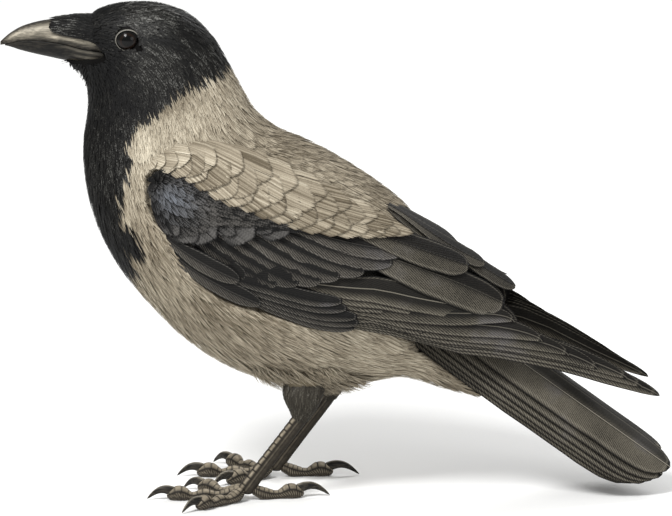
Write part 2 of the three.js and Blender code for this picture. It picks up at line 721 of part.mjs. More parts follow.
const nape = sectionIndex('nape');
const neckBase = sectionIndex('neck base');
const rump = sectionIndex('rump');
const end = SECTIONS.length - 1;

const trunkWhole = bodyPiece(neckBase + 0.02, rump - 0.02);
const trunkRoom = bodyPiece(neckBase + 0.01, rump - 0.01, { grow: SEAM });
const rumpWhole = bodyPiece(rump + 0.02, end);
const rumpRoom = bodyPiece(rump, end, { grow: SEAM });
const beds = [wingBed(LEFT), wingBed(RIGHT)];

const crow = new THREE.Group();
crow.name = 'hooded_crow';
crow.add(
  named('head', headSolid(), BLACK_FEATHER),
  named('bill_upper', upperBill(), HORN),
  named('bill_lower', lowerBill(), HORN),
  named('eye_left', eyeball(LEFT), EYEBALL),
  named('eye_right', eyeball(RIGHT), EYEBALL),
  named('neck', cut(bodyPiece(nape + 0.02, neckBase - 0.02), beds),
    GREY_FEATHER),
  named('trunk', cut(trunkWhole, beds), GREY_FEATHER),
  named('rump', cut(rumpWhole, beds), GREY_FEATHER),
  named('tail', cut(tail(), [rumpRoom]), BLACK_FEATHER),
  ...wingParts('left', LEFT),
  ...wingParts('right', RIGHT),
  ...legParts('left', FOOT_LEFT, [trunkRoom, rumpRoom]),
  ...legParts('right', FOOT_RIGHT, [trunkRoom, rumpRoom]),
);

export default crow;
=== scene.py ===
"""Hooded crow, life size: skin, plumage, bill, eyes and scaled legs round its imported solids."""
import math

import bpy
import numpy as np
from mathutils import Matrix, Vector


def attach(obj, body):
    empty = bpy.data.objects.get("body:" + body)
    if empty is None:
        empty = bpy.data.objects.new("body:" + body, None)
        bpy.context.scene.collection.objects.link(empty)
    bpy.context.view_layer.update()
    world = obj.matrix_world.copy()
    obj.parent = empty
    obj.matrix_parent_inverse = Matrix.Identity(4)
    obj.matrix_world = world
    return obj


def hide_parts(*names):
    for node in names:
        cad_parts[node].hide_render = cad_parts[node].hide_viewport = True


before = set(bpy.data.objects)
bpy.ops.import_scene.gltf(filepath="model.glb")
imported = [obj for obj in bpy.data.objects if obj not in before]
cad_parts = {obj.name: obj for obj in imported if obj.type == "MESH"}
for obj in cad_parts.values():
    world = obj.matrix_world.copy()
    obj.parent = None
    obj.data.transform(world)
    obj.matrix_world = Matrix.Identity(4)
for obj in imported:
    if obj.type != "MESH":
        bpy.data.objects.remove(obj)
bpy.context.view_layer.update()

MM = 0.001
LEFT, RIGHT = -1, 1
SEEDS = {"body": 11, "thighs": 12, "face": 13, "fringe": 14, "tail": 31, "wing_tufts": 80,
         "wing_vanes": 100}
SIDES = {"left": LEFT, "right": RIGHT}


# ------------------------------------------------------------------ curves

def curve(knots):
    """Smooth curve through (at, value) knots, held level beyond both ends."""
    at, value = np.array(knots, float).T
    last = len(at) - 1
    before = np.maximum(np.arange(last + 1) - 1, 0)
    after = np.minimum(np.arange(last + 1) + 1, last)
    slope = (value[after] - value[before]) / (at[after] - at[before])

    def read(x):
        x = np.clip(x, at[0], at[-1])
        i = np.clip(np.searchsorted(at, x, side="right") - 1, 0, last - 1)
        h = at[i + 1] - at[i]
        t = (x - at[i]) / h
        return (value[i] * (2 * t**3 - 3 * t**2 + 1) + slope[i] * h * (t**3 - 2 * t**2 + t)
                + value[i + 1] * (3 * t**2 - 2 * t**3) + slope[i + 1] * h * (t**3 - t**2))
    return read


def mix(a, b, t):
    return a + (b - a) * t


def ease(low, high, x):
    """0 below low, 1 above high, smooth between."""
    t = np.clip((x - low) / (high - low), 0, 1)
    return t * t * (3 - 2 * t)


def unit(v):
    return v / np.maximum(np.linalg.norm(v, axis=-1, keepdims=True), 1e-9)


def dot(a, b):
    return np.sum(a * b, axis=-1)


# ------------------------------------------------------------------ body form

BODY_ROUND = 2.15
SECTIONS = np.array([
    [-148.8, 290.6, -152.4, 260.0, 10.5], [-141.6, 295.3, -149.4, 252.7, 14],
    [-130.8, 298.6, -148.8, 245.5, 16.8], [-118.8, 299.7, -148.4, 238.8, 19.2],
    [-103.6, 298.6, -149.0, 230.9, 22.6], [-87.2, 291.8, -150.4, 222.3, 25.6],
    [-73.4, 278.4, -151.2, 212.4, 28.4], [-63.8, 262.0, -151.2, 201.8, 32],
    [-55.8, 246.8, -150.0, 189.5, 37], [-48.0, 233.5, -147.0, 174.7, 43],
    [-35.2, 222.2, -140.4, 156.6, 49], [-18.2, 214.8, -129.2, 136.6, 54],
    [0.4, 205.0, -112.4, 115.8, 56.5], [20.2, 192.4, -89.6, 93.1, 57],
    [40.2, 176.8, -60.0, 74.9, 55], [57.4, 156.0, -24.6, 65.0, 47],
    [73.2, 133.0, 8.4, 65.4, 38], [87.6, 116.1, 38.4, 70.0, 29],
    [100.2, 103.2, 63.6, 62.8, 23], [109.8, 95.3, 85.2, 56.6, 17],
])
LAST_SECTION = len(SECTIONS) - 1
COLUMNS = [curve(list(enumerate(SECTIONS[:, k]))) for k in range(5)]


def power(value, exponent):
    return np.sign(value) * np.abs(value) ** exponent


def body_place(u, turn):
    """Point of the plumage's outer form; u runs from face to tail, turn 0 is the back."""
    top_x, top_z, bottom_x, bottom_z, half = (column(u) for column in COLUMNS)
    high = power(np.cos(turn), 2 / BODY_ROUND)
    wide = power(np.sin(turn), 2 / BODY_ROUND)
    return np.stack([
        (top_x + bottom_x) / 2 + (top_x - bottom_x) / 2 * high, half * wide,
        (top_z + bottom_z) / 2 + (top_z - bottom_z) / 2 * high], -1)


# ------------------------------------------------------------------ wing form

WING_ROUND = 2.2
WRIST_X = -114.0
WING_MID = curve([[-114, 172], [-80, 166], [-50, 156], [0, 134], [50, 109], [90, 91],
                  [140, 73], [200, 57]])
WING_TOP = curve([[-114, 236], [-80, 240], [-50, 234], [0, 208], [50, 178.2], [90, 149],
                  [140, 108], [200, 66]])
WING_OUT = curve([[-114, 45], [-95, 53], [-70, 58], [-30, 61], [10, 60], [50, 54],
                  [90, 41], [140, 26], [200, 13]])
WING_DEEP = curve([[-114, 75], [0, 78], [90, 60], [200, 40]])
WING_EDGE = curve([[-114, 195], [-112.5, 186], [-110, 181], [-105.6, 175.5], [-100.9, 170],
                   [-97.3, 163.8], [-93.8, 158], [-86, 145], [-69, 131], [-55, 126], [-42, 122],
                   [-14, 113], [7, 110],
                   [26, 108], [51, 101], [75, 94.5], [100, 89.5], [134, 80.5], [146, 76.6],
                   [170, 68.4], [195, 60.5]])
SCAPULAR_TOP = curve([[-110, 206], [-104, 211], [-97, 213.5], [-83, 216], [-69, 215], [-55, 213],
                      [-35, 209], [-14, 200], [7, 189], [27, 177.5], [45, 167]])
SCAPULAR_EDGE = curve([[-113, 197], [-110, 201.5], [-104, 205.6], [-95, 205.1], [-86, 201.4],
                       [-75, 194.7], [-63, 190.1], [-51, 184.3], [-39, 180.2], [-27, 177.1],
                       [-15, 175], [-4, 173.4], [20, 169.4], [38, 166], [45, 166.5]])


def wing_place(x, turn):
    """Point of the folded wing's outer face; turn 0 is its widest line."""
    tall = np.where(turn >= 0, WING_TOP(x) - WING_MID(x), WING_DEEP(x))
    c = np.maximum(np.cos(turn), 0)
    return np.stack([x + 0 * turn, WING_OUT(x) * c ** (2 / WING_ROUND),
                     WING_MID(x) + tall * power(np.sin(turn), 2 / WING_ROUND)], -1)


def wing_turn(x, z):
    rise = z - WING_MID(x)
    tall = np.where(rise >= 0, WING_TOP(x) - WING_MID(x), WING_DEEP(x))
    share = np.minimum(np.abs(rise) / tall, 0.995)
    return np.sign(rise) * np.arcsin(share ** (WING_ROUND / 2))


def wing_out(x, z):
    return wing_place(x, wing_turn(x, z))[..., 1]


def settle(points, side):
    """The left wing mirrored, or the right one a touch shorter and higher."""
    x, y, z = points[..., 0], points[..., 1], points[..., 2]
    if side == LEFT:
        return np.stack([x, -y, z], -1)
    reach = x - WRIST_X
    # the far wing's top is pressed down behind the back, its quills are fuller
    top = np.clip(z - (WING_TOP(x) - 24), 0, 24) * ease(-20, 50, x) * ease(150, 90, x)
    full = 3.6 * np.exp(-((x - 122) / 26) ** 2)
    return np.stack([WRIST_X + reach * 0.98, y, z + reach * 0.022 - 0.46 * top + full], -1)


def wing_roof(x):
    """Upper limit of what the folded wing covers."""
    return np.where(x < 44, SCAPULAR_TOP(x), WING_TOP(x) - 0.5)


def under_wing(points, soft=6.0):
    """How far a point lies beneath the folded wing: 0 clear of it, 1 well under."""
    x, y, z = points[..., 0], np.abs(points[..., 1]), points[..., 2]
    below = ease(0, soft, wing_roof(x) - z)
    above = ease(-5, soft - 5, z - WING_EDGE(x))
    front = ease(-116, -116 + soft, x)
    outward = ease(8, 16, y)
    return below * above * front * outward


def tuck(points, clear=2.0, deep=9.0):
    """Keeps plumage and skin of the flank beneath the folded wings."""
    covered = under_wing(points)
    room = wing_out(points[..., 0], points[..., 2])
    limit = room + clear * (1 - covered) - deep * covered
    y = np.abs(points[..., 1])
    held = np.where(covered > 0, np.minimum(y, np.maximum(limit, 4)), y)
    result = points.copy()
    result[..., 1] = np.sign(points[..., 1]) * held
    return result


# ------------------------------------------------------------------ markings

HOOD_EDGE = curve([[118, -200], [126, -150], [128, -124], [137, -119], [145, -121],
                   [150, -114], [164, -119], [169, -127], [189, -125.6], [202, -121.5],
                   [219, -122.6], [226.6, -117], [232, -110], [240, -101], [247, -91],
                   [252, -76], [258, -63], [300, -30]])


def hood(points):
    """1 on the black hood and bib, 0 on the grey body."""
    x, z = points[..., 0], points[..., 2]
    ripple = 2.0 * np.sin(z * 0.55 + 0.6 * np.sin(x * 0.3)) * ease(228, 214, z) \
        + 1.0 * np.sin(z * 0.9 + x * 0.5)
    return ease(-2.0, 2.0, HOOD_EDGE(z) - x + ripple)


# ------------------------------------------------------------------ meshes

def make_mesh(name, points, faces, sharp=None, maps=None, fields=None):
    """Object from points in millimetres, arrays of equal-sided faces, UV maps and fields."""
    mesh = bpy.data.meshes.new(name)
    points = np.asarray(points, float) * MM
    faces = [np.asarray(f, np.int32) for f in faces if len(f)]
    loops = np.concatenate([f.ravel() for f in faces])
    sizes = np.concatenate([np.full(len(f), f.shape[1], np.int32) for f in faces])
    starts = np.concatenate([[0], np.cumsum(sizes)[:-1]]).astype(np.int32)
    mesh.vertices.add(len(points))
    mesh.vertices.foreach_set("co", points.ravel())
    mesh.loops.add(len(loops))
    mesh.loops.foreach_set("vertex_index", loops)
    mesh.polygons.add(len(sizes))
    mesh.polygons.foreach_set("loop_start", starts)
    mesh.polygons.foreach_set("use_smooth", np.ones(len(sizes), bool))
    mesh.update(calc_edges=True)
    if sharp is not None:
        pairs = np.empty(len(mesh.edges) * 2, np.int32)
        mesh.edges.foreach_get("vertices", pairs)
        pairs = pairs.reshape(-1, 2)
        flags = sharp[pairs[:, 0]] & sharp[pairs[:, 1]]
        layer = mesh.attributes.new("sharp_edge", "BOOLEAN", "EDGE")
        layer.data.foreach_set("value", flags)
    for label, coordinates in (maps or {}).items():
        layer = mesh.uv_layers.new(name=label)
        layer.data.foreach_set("uv", np.asarray(coordinates, np.float32)[loops].ravel())
    for label, values in (fields or {}).items():
        layer = mesh.attributes.new(label, "FLOAT_VECTOR", "POINT")
        layer.data.foreach_set("vector", np.asarray(values, np.float32).ravel())
    piece = bpy.data.objects.new(name, mesh)
    bpy.context.scene.collection.objects.link(piece)
    return piece


def repeat_faces(pattern, count, stride):
    """The faces of one unit repeated for count units of stride points each."""
    pattern = np.asarray(pattern)
    shifts = (np.arange(count) * stride)[:, None, None]
    return (pattern[None] + shifts).reshape(-1, pattern.shape[1])


def tube_faces(rings, around):
    """Quads of a closed tube of rings, and its end fans as triangles."""
    quads, triangles = [], []
    for i in range(rings - 1):
        for j in range(around):
            k = (j + 1) % around
            quads.append([i * around + j, i * around + k,
                          (i + 1) * around + k, (i + 1) * around + j])
    end = (rings - 1) * around
    for j in range(1, around - 1):
        triangles.append([0, j + 1, j])
        triangles.append([end, end + j, end + j + 1])
    return quads, triangles


def joined(parts):
    """The arrays of several parts as one part's, with their faces counted on."""
    result, shift = {key: [] for key in parts[0]}, 0
    for part in parts:
        for key, values in part.items():
            result[key].append(values + shift if key in ("quads", "triangles") else values)
        shift += len(part["points"])
    return {key: np.concatenate(values) for key, values in result.items()}


def tangents(place, a, b, step_a, step_b):
    """Point, unit normal and surface steps per unit of each parameter."""
    here = place(a, b)
    along_a = (place(a + step_a, b) - place(a - step_a, b)) / (2 * step_a)
    along_b = (place(a, b + step_b) - place(a, b - step_b)) / (2 * step_b)
    return here, along_a, along_b, unit(np.cross(along_b, along_a))


def solve(direction, along_a, along_b):
    """Changes of the two parameters that move a point by the given direction."""
    g11, g12, g22 = dot(along_a, along_a), dot(along_a, along_b), dot(along_b, along_b)
    det = np.maximum(g11 * g22 - g12 * g12, 1e-6)
    r1, r2 = dot(direction, along_a), dot(direction, along_b)
    return (r1 * g22 - r2 * g12) / det, (r2 * g11 - r1 * g12) / det


# ------------------------------------------------------------------ small feathers

RING_PLACES = np.array([0.0, 0.36, 0.64, 0.86])
STATIONS = 7


def feathers(place, a, b, rng, *, length, half, heading=0.0, strands=5, sink=-2.0, rise=0.2,
             thick=0.2, point=0.35, loose=0.08, uneven=0.08, round_off=0.25, outward=1,
             steps=(0.02, 0.02), aim=None, seen=None, patch, taper=0.75,
             rings=RING_PLACES):
    """Feathers of fine strands rooted at (a, b) that lie over a form from root to tip.

    They run at a heading from the form's own, toward a direction in space (aim), or along
    a direction seen from the side (seen).

    Returns points, faces, border flags, patch coordinates and (random, along, across)."""
    count = len(a)
    length, half, heading = (np.broadcast_to(v, count).astype(float)
                             for v in (length, half, heading))
    stride = np.ones((count, 1))
    centre_a, centre_b, side_a, side_b, normals = [], [], [], [], []
    pa, pb = a.copy(), b.copy()
    for i in range(STATIONS):
        _, along_a, along_b, normal = tangents(place, pa, pb, *steps)
        normal = normal * outward
        first = unit(along_a)
        second = np.cross(normal, first)
        turn = heading[:, None]
        ahead = np.cos(turn) * first + np.sin(turn) * second
        if aim is not None:
            ahead = unit(aim - dot(aim, normal)[:, None] * normal)
        if seen is not None:
            outward_part = np.where(normal[:, 1] < 0, -1, 1) * np.maximum(
                np.abs(normal[:, 1]), 0.3)
            across_y = -(seen[:, 0] * normal[:, 0] + seen[:, 1] * normal[:, 2]) / outward_part
            ahead = np.stack([seen[:, 0], across_y, seen[:, 1]], -1)
            stride = np.linalg.norm(ahead, axis=1, keepdims=True)
            ahead = ahead / stride
        across = np.cross(normal, ahead)
        da, db = solve(across, along_a, along_b)
        centre_a.append(pa)
        centre_b.append(pb)
        side_a.append(da)
        side_b.append(db)
        normals.append(normal)
        fa, fb = solve(ahead, along_a, along_b)
        step = length / (STATIONS - 1) * stride[:, 0]
        pa, pb = pa + fa * step, pb + fb * step
    stack = [np.stack(v, 1) for v in (centre_a, centre_b, side_a, side_b)]
    normals = np.stack(normals, 1)

    lanes = np.linspace(-1, 1, strands) if strands > 1 else np.zeros(1)
    sway = rng.normal(0, 0.5 / max(strands, 2), (count, strands))
    lane = np.clip(lanes + sway, -1.1, 1.1)
    reach = 1 - point * np.abs(lane) ** 1.6 - loose * rng.random((count, strands))
    places = np.concatenate([rings, [1.0]])
    at = reach[..., None] * places * (STATIONS - 1)
    low = np.clip(at.astype(int), 0, STATIONS - 2)
    part = at - low
    index = np.arange(count)[:, None, None]

    def read(values):
        if values.ndim == 3:
            return (values[index, low] * (1 - part[..., None])
                    + values[index, low + 1] * part[..., None])
        return values[index, low] * (1 - part) + values[index, low + 1] * part

    ca, cb, sa, sb = (read(v) for v in stack)
    normal = read(normals)
    fan = 0.4 + 0.6 * np.sin(np.clip(places * 1.9, 0, math.pi / 2))
    close = 1 - 0.35 * point * places ** 3
    offset = half[:, None, None] * lane[..., None] * fan * close
    own = half[:, None, None] / strands * 1.45 * (1 - taper * places ** 2.2)
    own = own * np.where(places == 0, 0.7, 1)
    sink, rise = (np.broadcast_to(v, count).astype(float)[:, None, None] for v in (sink, rise))
    lift = mix(sink, rise, places ** 1.25) - round_off * np.abs(lane[..., None]) ** 2
    lift = lift + rng.normal(0, uneven, (count, strands))[..., None]
    corners = np.array([-1.0, 0.0, 1.0])
    sideways = offset[..., None] + own[..., None] * corners
    qa = ca[..., None] + sa[..., None] * sideways
    qb = cb[..., None] + sb[..., None] * sideways
    spots = place(qa, qb)
    ridge = thick * (corners == 0) * (1 - 0.6 * places[:, None])
    spots = spots + normal[..., None, :] * (lift[..., None] + ridge)[..., None]

    body = spots[:, :, :-1].reshape(count, strands, -1, 3)
    tip = spots[:, :, -1:, 1]
    points = np.concatenate([body, tip], 2)
    per_strand = points.shape[2]
    count_rings = len(rings)
    quads, triangles = [], []
    for i in range(count_rings - 1):
        for j in range(3):
            k = (j + 1) % 3
            quads.append([i * 3 + j, (i + 1) * 3 + j, (i + 1) * 3 + k, i * 3 + k])
    for j in range(3):
        k = (j + 1) % 3
        triangles.append([(count_rings - 1) * 3 + j, per_strand - 1, (count_rings - 1) * 3 + k])
    triangles.append([0, 1, 2])
    total = count * strands
    border = np.array(([True, False, True] * count_rings) + [True])
    along = np.concatenate([np.repeat(rings, 3), [1.0]])
    side = np.concatenate([np.tile(corners, count_rings), [0.0]])
    shade = np.broadcast_to(rng.random(count)[:, None, None], points.shape[:3])
    own_shade = rng.random((count, strands))[..., None]
    fields = np.stack(np.broadcast_arrays(
        0.45 * shade + 0.55 * own_shade, along,
        lane[..., None] + side * 0.3 / strands), -1)
    home = np.stack(patch, -1)[:, None, None, :]
    local = np.stack(np.broadcast_arrays(
        (along - 0.5) * 0.003, np.clip(lane[..., None], -1, 1) * 0.0012), -1)
    return {
        "points": points.reshape(-1, 3),
        "quads": repeat_faces(quads, total, per_strand),
        "triangles": repeat_faces(triangles, total, per_strand),
        "sharp": np.tile(border, total),
        "bake": (home + local).reshape(-1, 2),
        "plume": fields.reshape(-1, 3),
        "per_feather": strands * per_strand,
        "per_strand": per_strand,
    }


def dress(piece, finish, slot, *nodes):
    """Gives a piece its material and body, and hides the solids it stands for; the slot is not
    used.
    """
    piece.data.materials.append(finish)
    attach(piece, "root")
    if nodes:
        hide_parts(*nodes)
    return piece


def feather_piece(name, part, finish, slot):
    piece = make_mesh(name, part["points"], [part["quads"], part["triangles"]],
                      part["sharp"], {"OFBake": part["bake"]},
                      {"plume": part["plume"], "tint": part["tint"]})
    return dress(piece, finish, slot)


# ------------------------------------------------------------------ finishes

class Wire:
    """A number carried by a socket, used in plain sums."""

    def __init__(self, kit, socket):
        self.kit, self.socket = kit, socket

    def _do(self, operation, *others, clamp=False):
        return self.kit.add("ShaderNodeMath", {"operation": operation, "use_clamp": clamp},
                            {i: v for i, v in enumerate(others)})

    def __add__(self, other):
        return self._do("ADD", self, other)

    def __radd__(self, other):
        return self._do("ADD", other, self)

    def __sub__(self, other):
        return self._do("SUBTRACT", self, other)

    def __rsub__(self, other):
        return self._do("SUBTRACT", other, self)

    def __mul__(self, other):
        return self._do("MULTIPLY", self, other)

    def __rmul__(self, other):
        return self._do("MULTIPLY", other, self)

    def __truediv__(self, other):
        return self._do("DIVIDE", self, other)

    def __pow__(self, other):
        return self._do("POWER", self, other)

    def __abs__(self):
        return self._do("ABSOLUTE", self)

    def sine(self):
        return self._do("SINE", self)

    def clamped(self):
        return self._do("ADD", self, 0.0, clamp=True)

    def between(self, low, high):
        """0 below low, 1 above high, smooth between."""
        return self.kit.add("ShaderNodeMapRange", {"interpolation_type": "SMOOTHSTEP"},
                            {"Value": self, "From Min": low, "From Max": high})


class Finish:
    """One procedural material."""

    def __init__(self, name):
        self.material = bpy.data.materials.new(name)
        self.material.use_nodes = True
        self.tree = self.material.node_tree
        self.tree.nodes.clear()

    def add(self, kind, settings=None, inputs=None, out=0):
        node = self.tree.nodes.new(kind)
        for key, value in (settings or {}).items():
            if key == "stops":
                ramp = node.color_ramp.elements
                while len(ramp) < len(value):
                    ramp.new(0.5)
                for element, (position, colour) in zip(ramp, value):
                    element.position = position
                    element.color = colour
            else:
                setattr(node, key, value)
        for key, value in (inputs or {}).items():
            self.put(node.inputs[key], value)
        return Wire(self, node.outputs[out])

    def put(self, socket, value):
        if isinstance(value, Wire):
            self.tree.links.new(value.socket, socket)
        elif isinstance(value, (tuple, list)) and len(value) == 3 and socket.type == "RGBA":
            socket.default_value = (*value, 1.0)
        else:
            socket.default_value = value

    def field(self, name):
        """The three numbers of a field on the mesh."""
        source = self.add("ShaderNodeAttribute", {"attribute_name": name}, out="Vector")
        return self.split(source)

    def split(self, vector):
        node = self.tree.nodes.new("ShaderNodeSeparateXYZ")
        self.tree.links.new(vector.socket, node.inputs[0])
        return [Wire(self, output) for output in node.outputs]

    def where(self):
        return self.add("ShaderNodeTexCoord", out="Object")

    def noise(self, scale, detail=3.0, vector=None, roughness=0.55):
        inputs = {"Scale": scale, "Detail": detail, "Roughness": roughness,
                  "Vector": vector or self.where()}
        return self.add("ShaderNodeTexNoise", {}, inputs, out="Fac")

    def stretched(self, vector, factors):
        return self.add("ShaderNodeVectorMath", {"operation": "MULTIPLY"},
                        {0: vector, 1: factors})

    def blend(self, a, b, factor):
        """Colour a turned into b by a factor."""
        node = self.tree.nodes.new("ShaderNodeMix")
        node.data_type = "RGBA"
        for socket, value in zip((node.inputs[6], node.inputs[7], node.inputs[0]),
                                 (a, b, factor)):
            self.put(socket, value)
        return Wire(self, node.outputs[2])

    def bump(self, height, strength, distance=0.0005):
        return self.add("ShaderNodeBump", {}, {"Strength": strength, "Distance": distance,
                                               "Height": height})

    def surface(self, **inputs):
        """Ends the material with its shader; constants and links go to named sockets."""
        names = {key: key.replace("_", " ") for key in inputs}
        node = self.tree.nodes.new("ShaderNodeBsdfPrincipled")
        for key, value in inputs.items():
            self.put(node.inputs[names[key]], value)
        output = self.tree.nodes.new("ShaderNodeOutputMaterial")
        self.tree.links.new(node.outputs[0], output.inputs[0])
        return self.material


def srgb(red, green, blue):
    """Linear colour of an sRGB colour given in 0 to 255."""
    return tuple((c / 255 / 12.92) if c / 255 <= 0.04045
                 else ((c / 255 + 0.055) / 1.055) ** 2.4 for c in (red, green, blue))


GREY_DARK = srgb(92, 83, 68)
GREY_MID = srgb(150, 140, 122)
GREY_PALE = srgb(200, 191, 171)
# colour of the painted-shade line round the grey feathers
GREY_SHADE_LINE = srgb(48, 42, 34)
BLACK_DEEP = srgb(10, 10, 10)
BLACK_MID = srgb(35, 34, 31)
BLACK_SHEEN = srgb(112, 112, 108)
BLUE_SHEEN = srgb(112, 120, 132)


def plumage_finish():
    """Soft feathers: warm grey, or black where the tint says so, with tone and painted light from
    the tint and painted shade as a dark line round each feather.
    """
    kit = Finish("soft_plumage")
    random, along, across = kit.field("plume")
    # the tint's second field is tone with painted light and shade, its third the strength of the
    # painted-shade outline
    black, tone_and_painted_light, rim = kit.field("tint")
    streak = kit.noise(1300.0, 2.0)
    patchy = kit.noise(26.0, 3.0)
    tip = along.between(0.2, 0.95)
    side = abs(across)
    border = (side * along.between(0.2, 0.6)).between(0.86, 1.0)
    # painted shade: a dark line round each feather's tip and sides
    shade_outline = (along.between(0.945, 0.985) + border * 0.6).clamped()
    hairs = ((across * 95.0 + random * 40.0).sine() * 0.5 + 0.5)
    tone = (random * 0.6 + hairs * 0.4 + tip * 0.16 + streak * 0.4 + (tone_and_painted_light - 0.5) * 0.9
            + patchy * 0.3 - 0.52).clamped()
    grey = kit.add("ShaderNodeValToRGB", {"stops": [
        (0.0, (*GREY_DARK, 1)), (0.5, (*GREY_MID, 1)), (1.0, (*GREY_PALE, 1))]}, {0: tone})
    grey = kit.blend(grey, GREY_SHADE_LINE, shade_outline * (rim * 0.75 + 0.12))
    hair = (random.between(0.25, 0.95) * 0.6 + hairs * 0.4) * streak.between(0.2, 0.7)
    deep = (hair * (0.85 + tone_and_painted_light * 0.6) + tip * 0.06 + (tone_and_painted_light - 0.5) * 0.9 + patchy * 0.2
            - 0.28).clamped()
    dark = kit.add("ShaderNodeValToRGB", {"stops": [
        (0.0, (*BLACK_DEEP, 1)), (0.45, (*BLACK_MID, 1)), (1.0, (*BLACK_SHEEN, 1))]},
        {0: deep})
    colour = kit.blend(grey, dark, black)
    rough = 0.85 - black * 0.3 + (random - 0.5) * 0.1
    return kit.surface(Base_Color=colour, Roughness=rough, Specular_IOR_Level=0.16)


def covert_finish():
    """Small wing coverts: black with dark outlines of painted shade, and a painted blue-grey sheen
    at the wrist.
    """
    kit = Finish("wing_coverts")
    random, along, across = kit.field("plume")
    _, tone_and_painted_light, blue = kit.field("tint")
    side = abs(across)
    barb = ((along * 90.0 - side * 9.0 + random * 7.0).sine() * 0.5 + 0.5)
    patchy = kit.noise(60.0, 3.0)
    border = (side * along.between(0.3, 0.7)).between(0.82, 1.0)
    # painted shade: a dark line round each covert's tip and sides
    shade_outline = (along.between(0.93, 0.985) + border * 0.8).clamped()
    inside = along.between(0.55, 0.9) * (1 - shade_outline)
    hairs = ((across * 60.0 + random * 40.0).sine() * 0.5 + 0.5)
    tone = (inside * 0.25 + hairs * 0.35 + barb * 0.25 * along.between(0.1, 0.5)
            + random * 0.2 + (patchy - 0.5) * 0.7 + (tone_and_painted_light - 0.5)).clamped()
    colour = kit.blend(srgb(9, 9, 9), srgb(88, 84, 78), tone)
    # painted blue sheen, stronger where the tone is light
    colour = kit.blend(colour, BLUE_SHEEN, blue * tone)
    colour = kit.blend(colour, srgb(8, 8, 8), shade_outline * 0.85)
    return kit.surface(Base_Color=colour, Roughness=0.6, Specular_IOR_Level=0.16)


def skin_finish():
    kit = Finish("skin_under_plumage")
    black, _, _ = kit.field("tint")
    down = kit.noise(260.0, 5.0)
    grey = kit.blend(srgb(96, 87, 72), srgb(138, 128, 108), down)
    dark = kit.blend(srgb(8, 8, 8), srgb(22, 21, 20), down)
    colour = kit.blend(grey, dark, black)
    normal = kit.bump(kit.noise(700.0, 3.0), 0.4)
    return kit.surface(Base_Color=colour, Roughness=0.9, Normal=normal,
                       Specular_IOR_Level=0.05)


def vane_finish(name, deep, mid, rim, sheen):
    """Long feathers: barbs slant from the shaft to the rim, which gets a painted highlight inside a
    painted-shade outline; covered parts get painted shade, patches a painted sheen.
    """
    kit = Finish(name)
    uv = kit.split(kit.add("ShaderNodeUVMap", {"uv_map": "Vane"}))
    sideways, forward = uv[0] - 0.5, uv[1]
    random, along, edge = kit.field("plume")
    shaded_cover, bright, lane = kit.field("tint")
    slant = forward - abs(sideways) * 1.9
    wobble = kit.noise(55.0, 2.0)
    ragged = kit.noise(330.0, 2.0)
    barb = ((slant * 250.0 + wobble * 5.0 + ragged * 5.0 + random * 9.0).sine() * 0.5 + 0.5)
    fine = kit.noise(1500.0, 2.0)
    away = abs(sideways) * 100.0
    shaft = 1 - away.between(0.2, 0.45)
    groove = (1 - away.between(0.45, 1.3)) * (1 - shaft)
    # painted shade: a thin dark line at the vane's edge and tip
    shade_outline = edge.between(0.91, 0.98)
    # painted highlight: a pale band just inside the rim
    inside = edge.between(0.76, 0.86) * (1 - edge.between(0.86, 0.92))
    # painted shade on the part of each feather that lies under its neighbour
    shown = lane.between(shaded_cover - 0.45, shaded_cover + 0.15)
    covered = 1 - (1 - shown) * shaded_cover.between(0.0, 0.1) * 0.9
    patchy = kit.noise(34.0, 3.0)
    tone = ((barb * 0.5 + (fine - 0.5) * 0.8 + (patchy - 0.5) * 0.6 + random * 0.12
             + bright - 0.04) * covered).clamped()
    base = kit.blend(deep, mid, tone)
    glint = patchy.between(0.52, 0.72) * along.between(0.15, 0.8) * tone
    base = kit.blend(base, sheen, glint * 0.6)
    base = kit.blend(base, rim, inside * (0.05 + barb * 0.25))
    base = kit.blend(base, deep, (shade_outline * 0.95 + groove * 0.7).clamped())
    base = kit.blend(base, rim, shaft * bright.between(0.0, 0.1) * 0.7)
    normal = kit.bump(barb * 0.6 + fine * 0.2 + shaft, 0.4, 0.0003)
    return kit.surface(Base_Color=base, Roughness=0.56 + barb * 0.14, Normal=normal,
                       Specular_IOR_Level=0.16)


def horn_finish():
    """Bill and claws: dark horn, polished, with pale painted highlights from the tint; the lower
    jaw is painted darker as shade.
    """
    kit = Finish("dark_horn")
    place = kit.where()
    grain = kit.noise(60.0, 4.0, kit.stretched(place, (0.35, 3.0, 2.2)))
    fine = kit.noise(1300.0, 3.0, kit.stretched(place, (0.12, 1.0, 1.0)))
    horn_highlight, under, _ = kit.field("tint")
    # the lower jaw's horn is painted darker, as shade
    tone = (grain * 0.4 + fine * 0.6).between(0.4, 0.62) * (1 - under * 0.5)
    colour = kit.blend(srgb(12, 11, 10), srgb(58, 54, 47), tone)
    # pale painted highlights
    colour = kit.blend(colour, srgb(196, 187, 168), horn_highlight * (0.45 + tone * 0.45))
    normal = kit.bump(grain * 0.6 + fine * 0.4, 0.25, 0.0003)
    return kit.surface(Base_Color=colour, Roughness=0.4 + grain * 0.16, Normal=normal,
                       Coat_Weight=0.03, Coat_Roughness=0.3, Specular_IOR_Level=0.16)


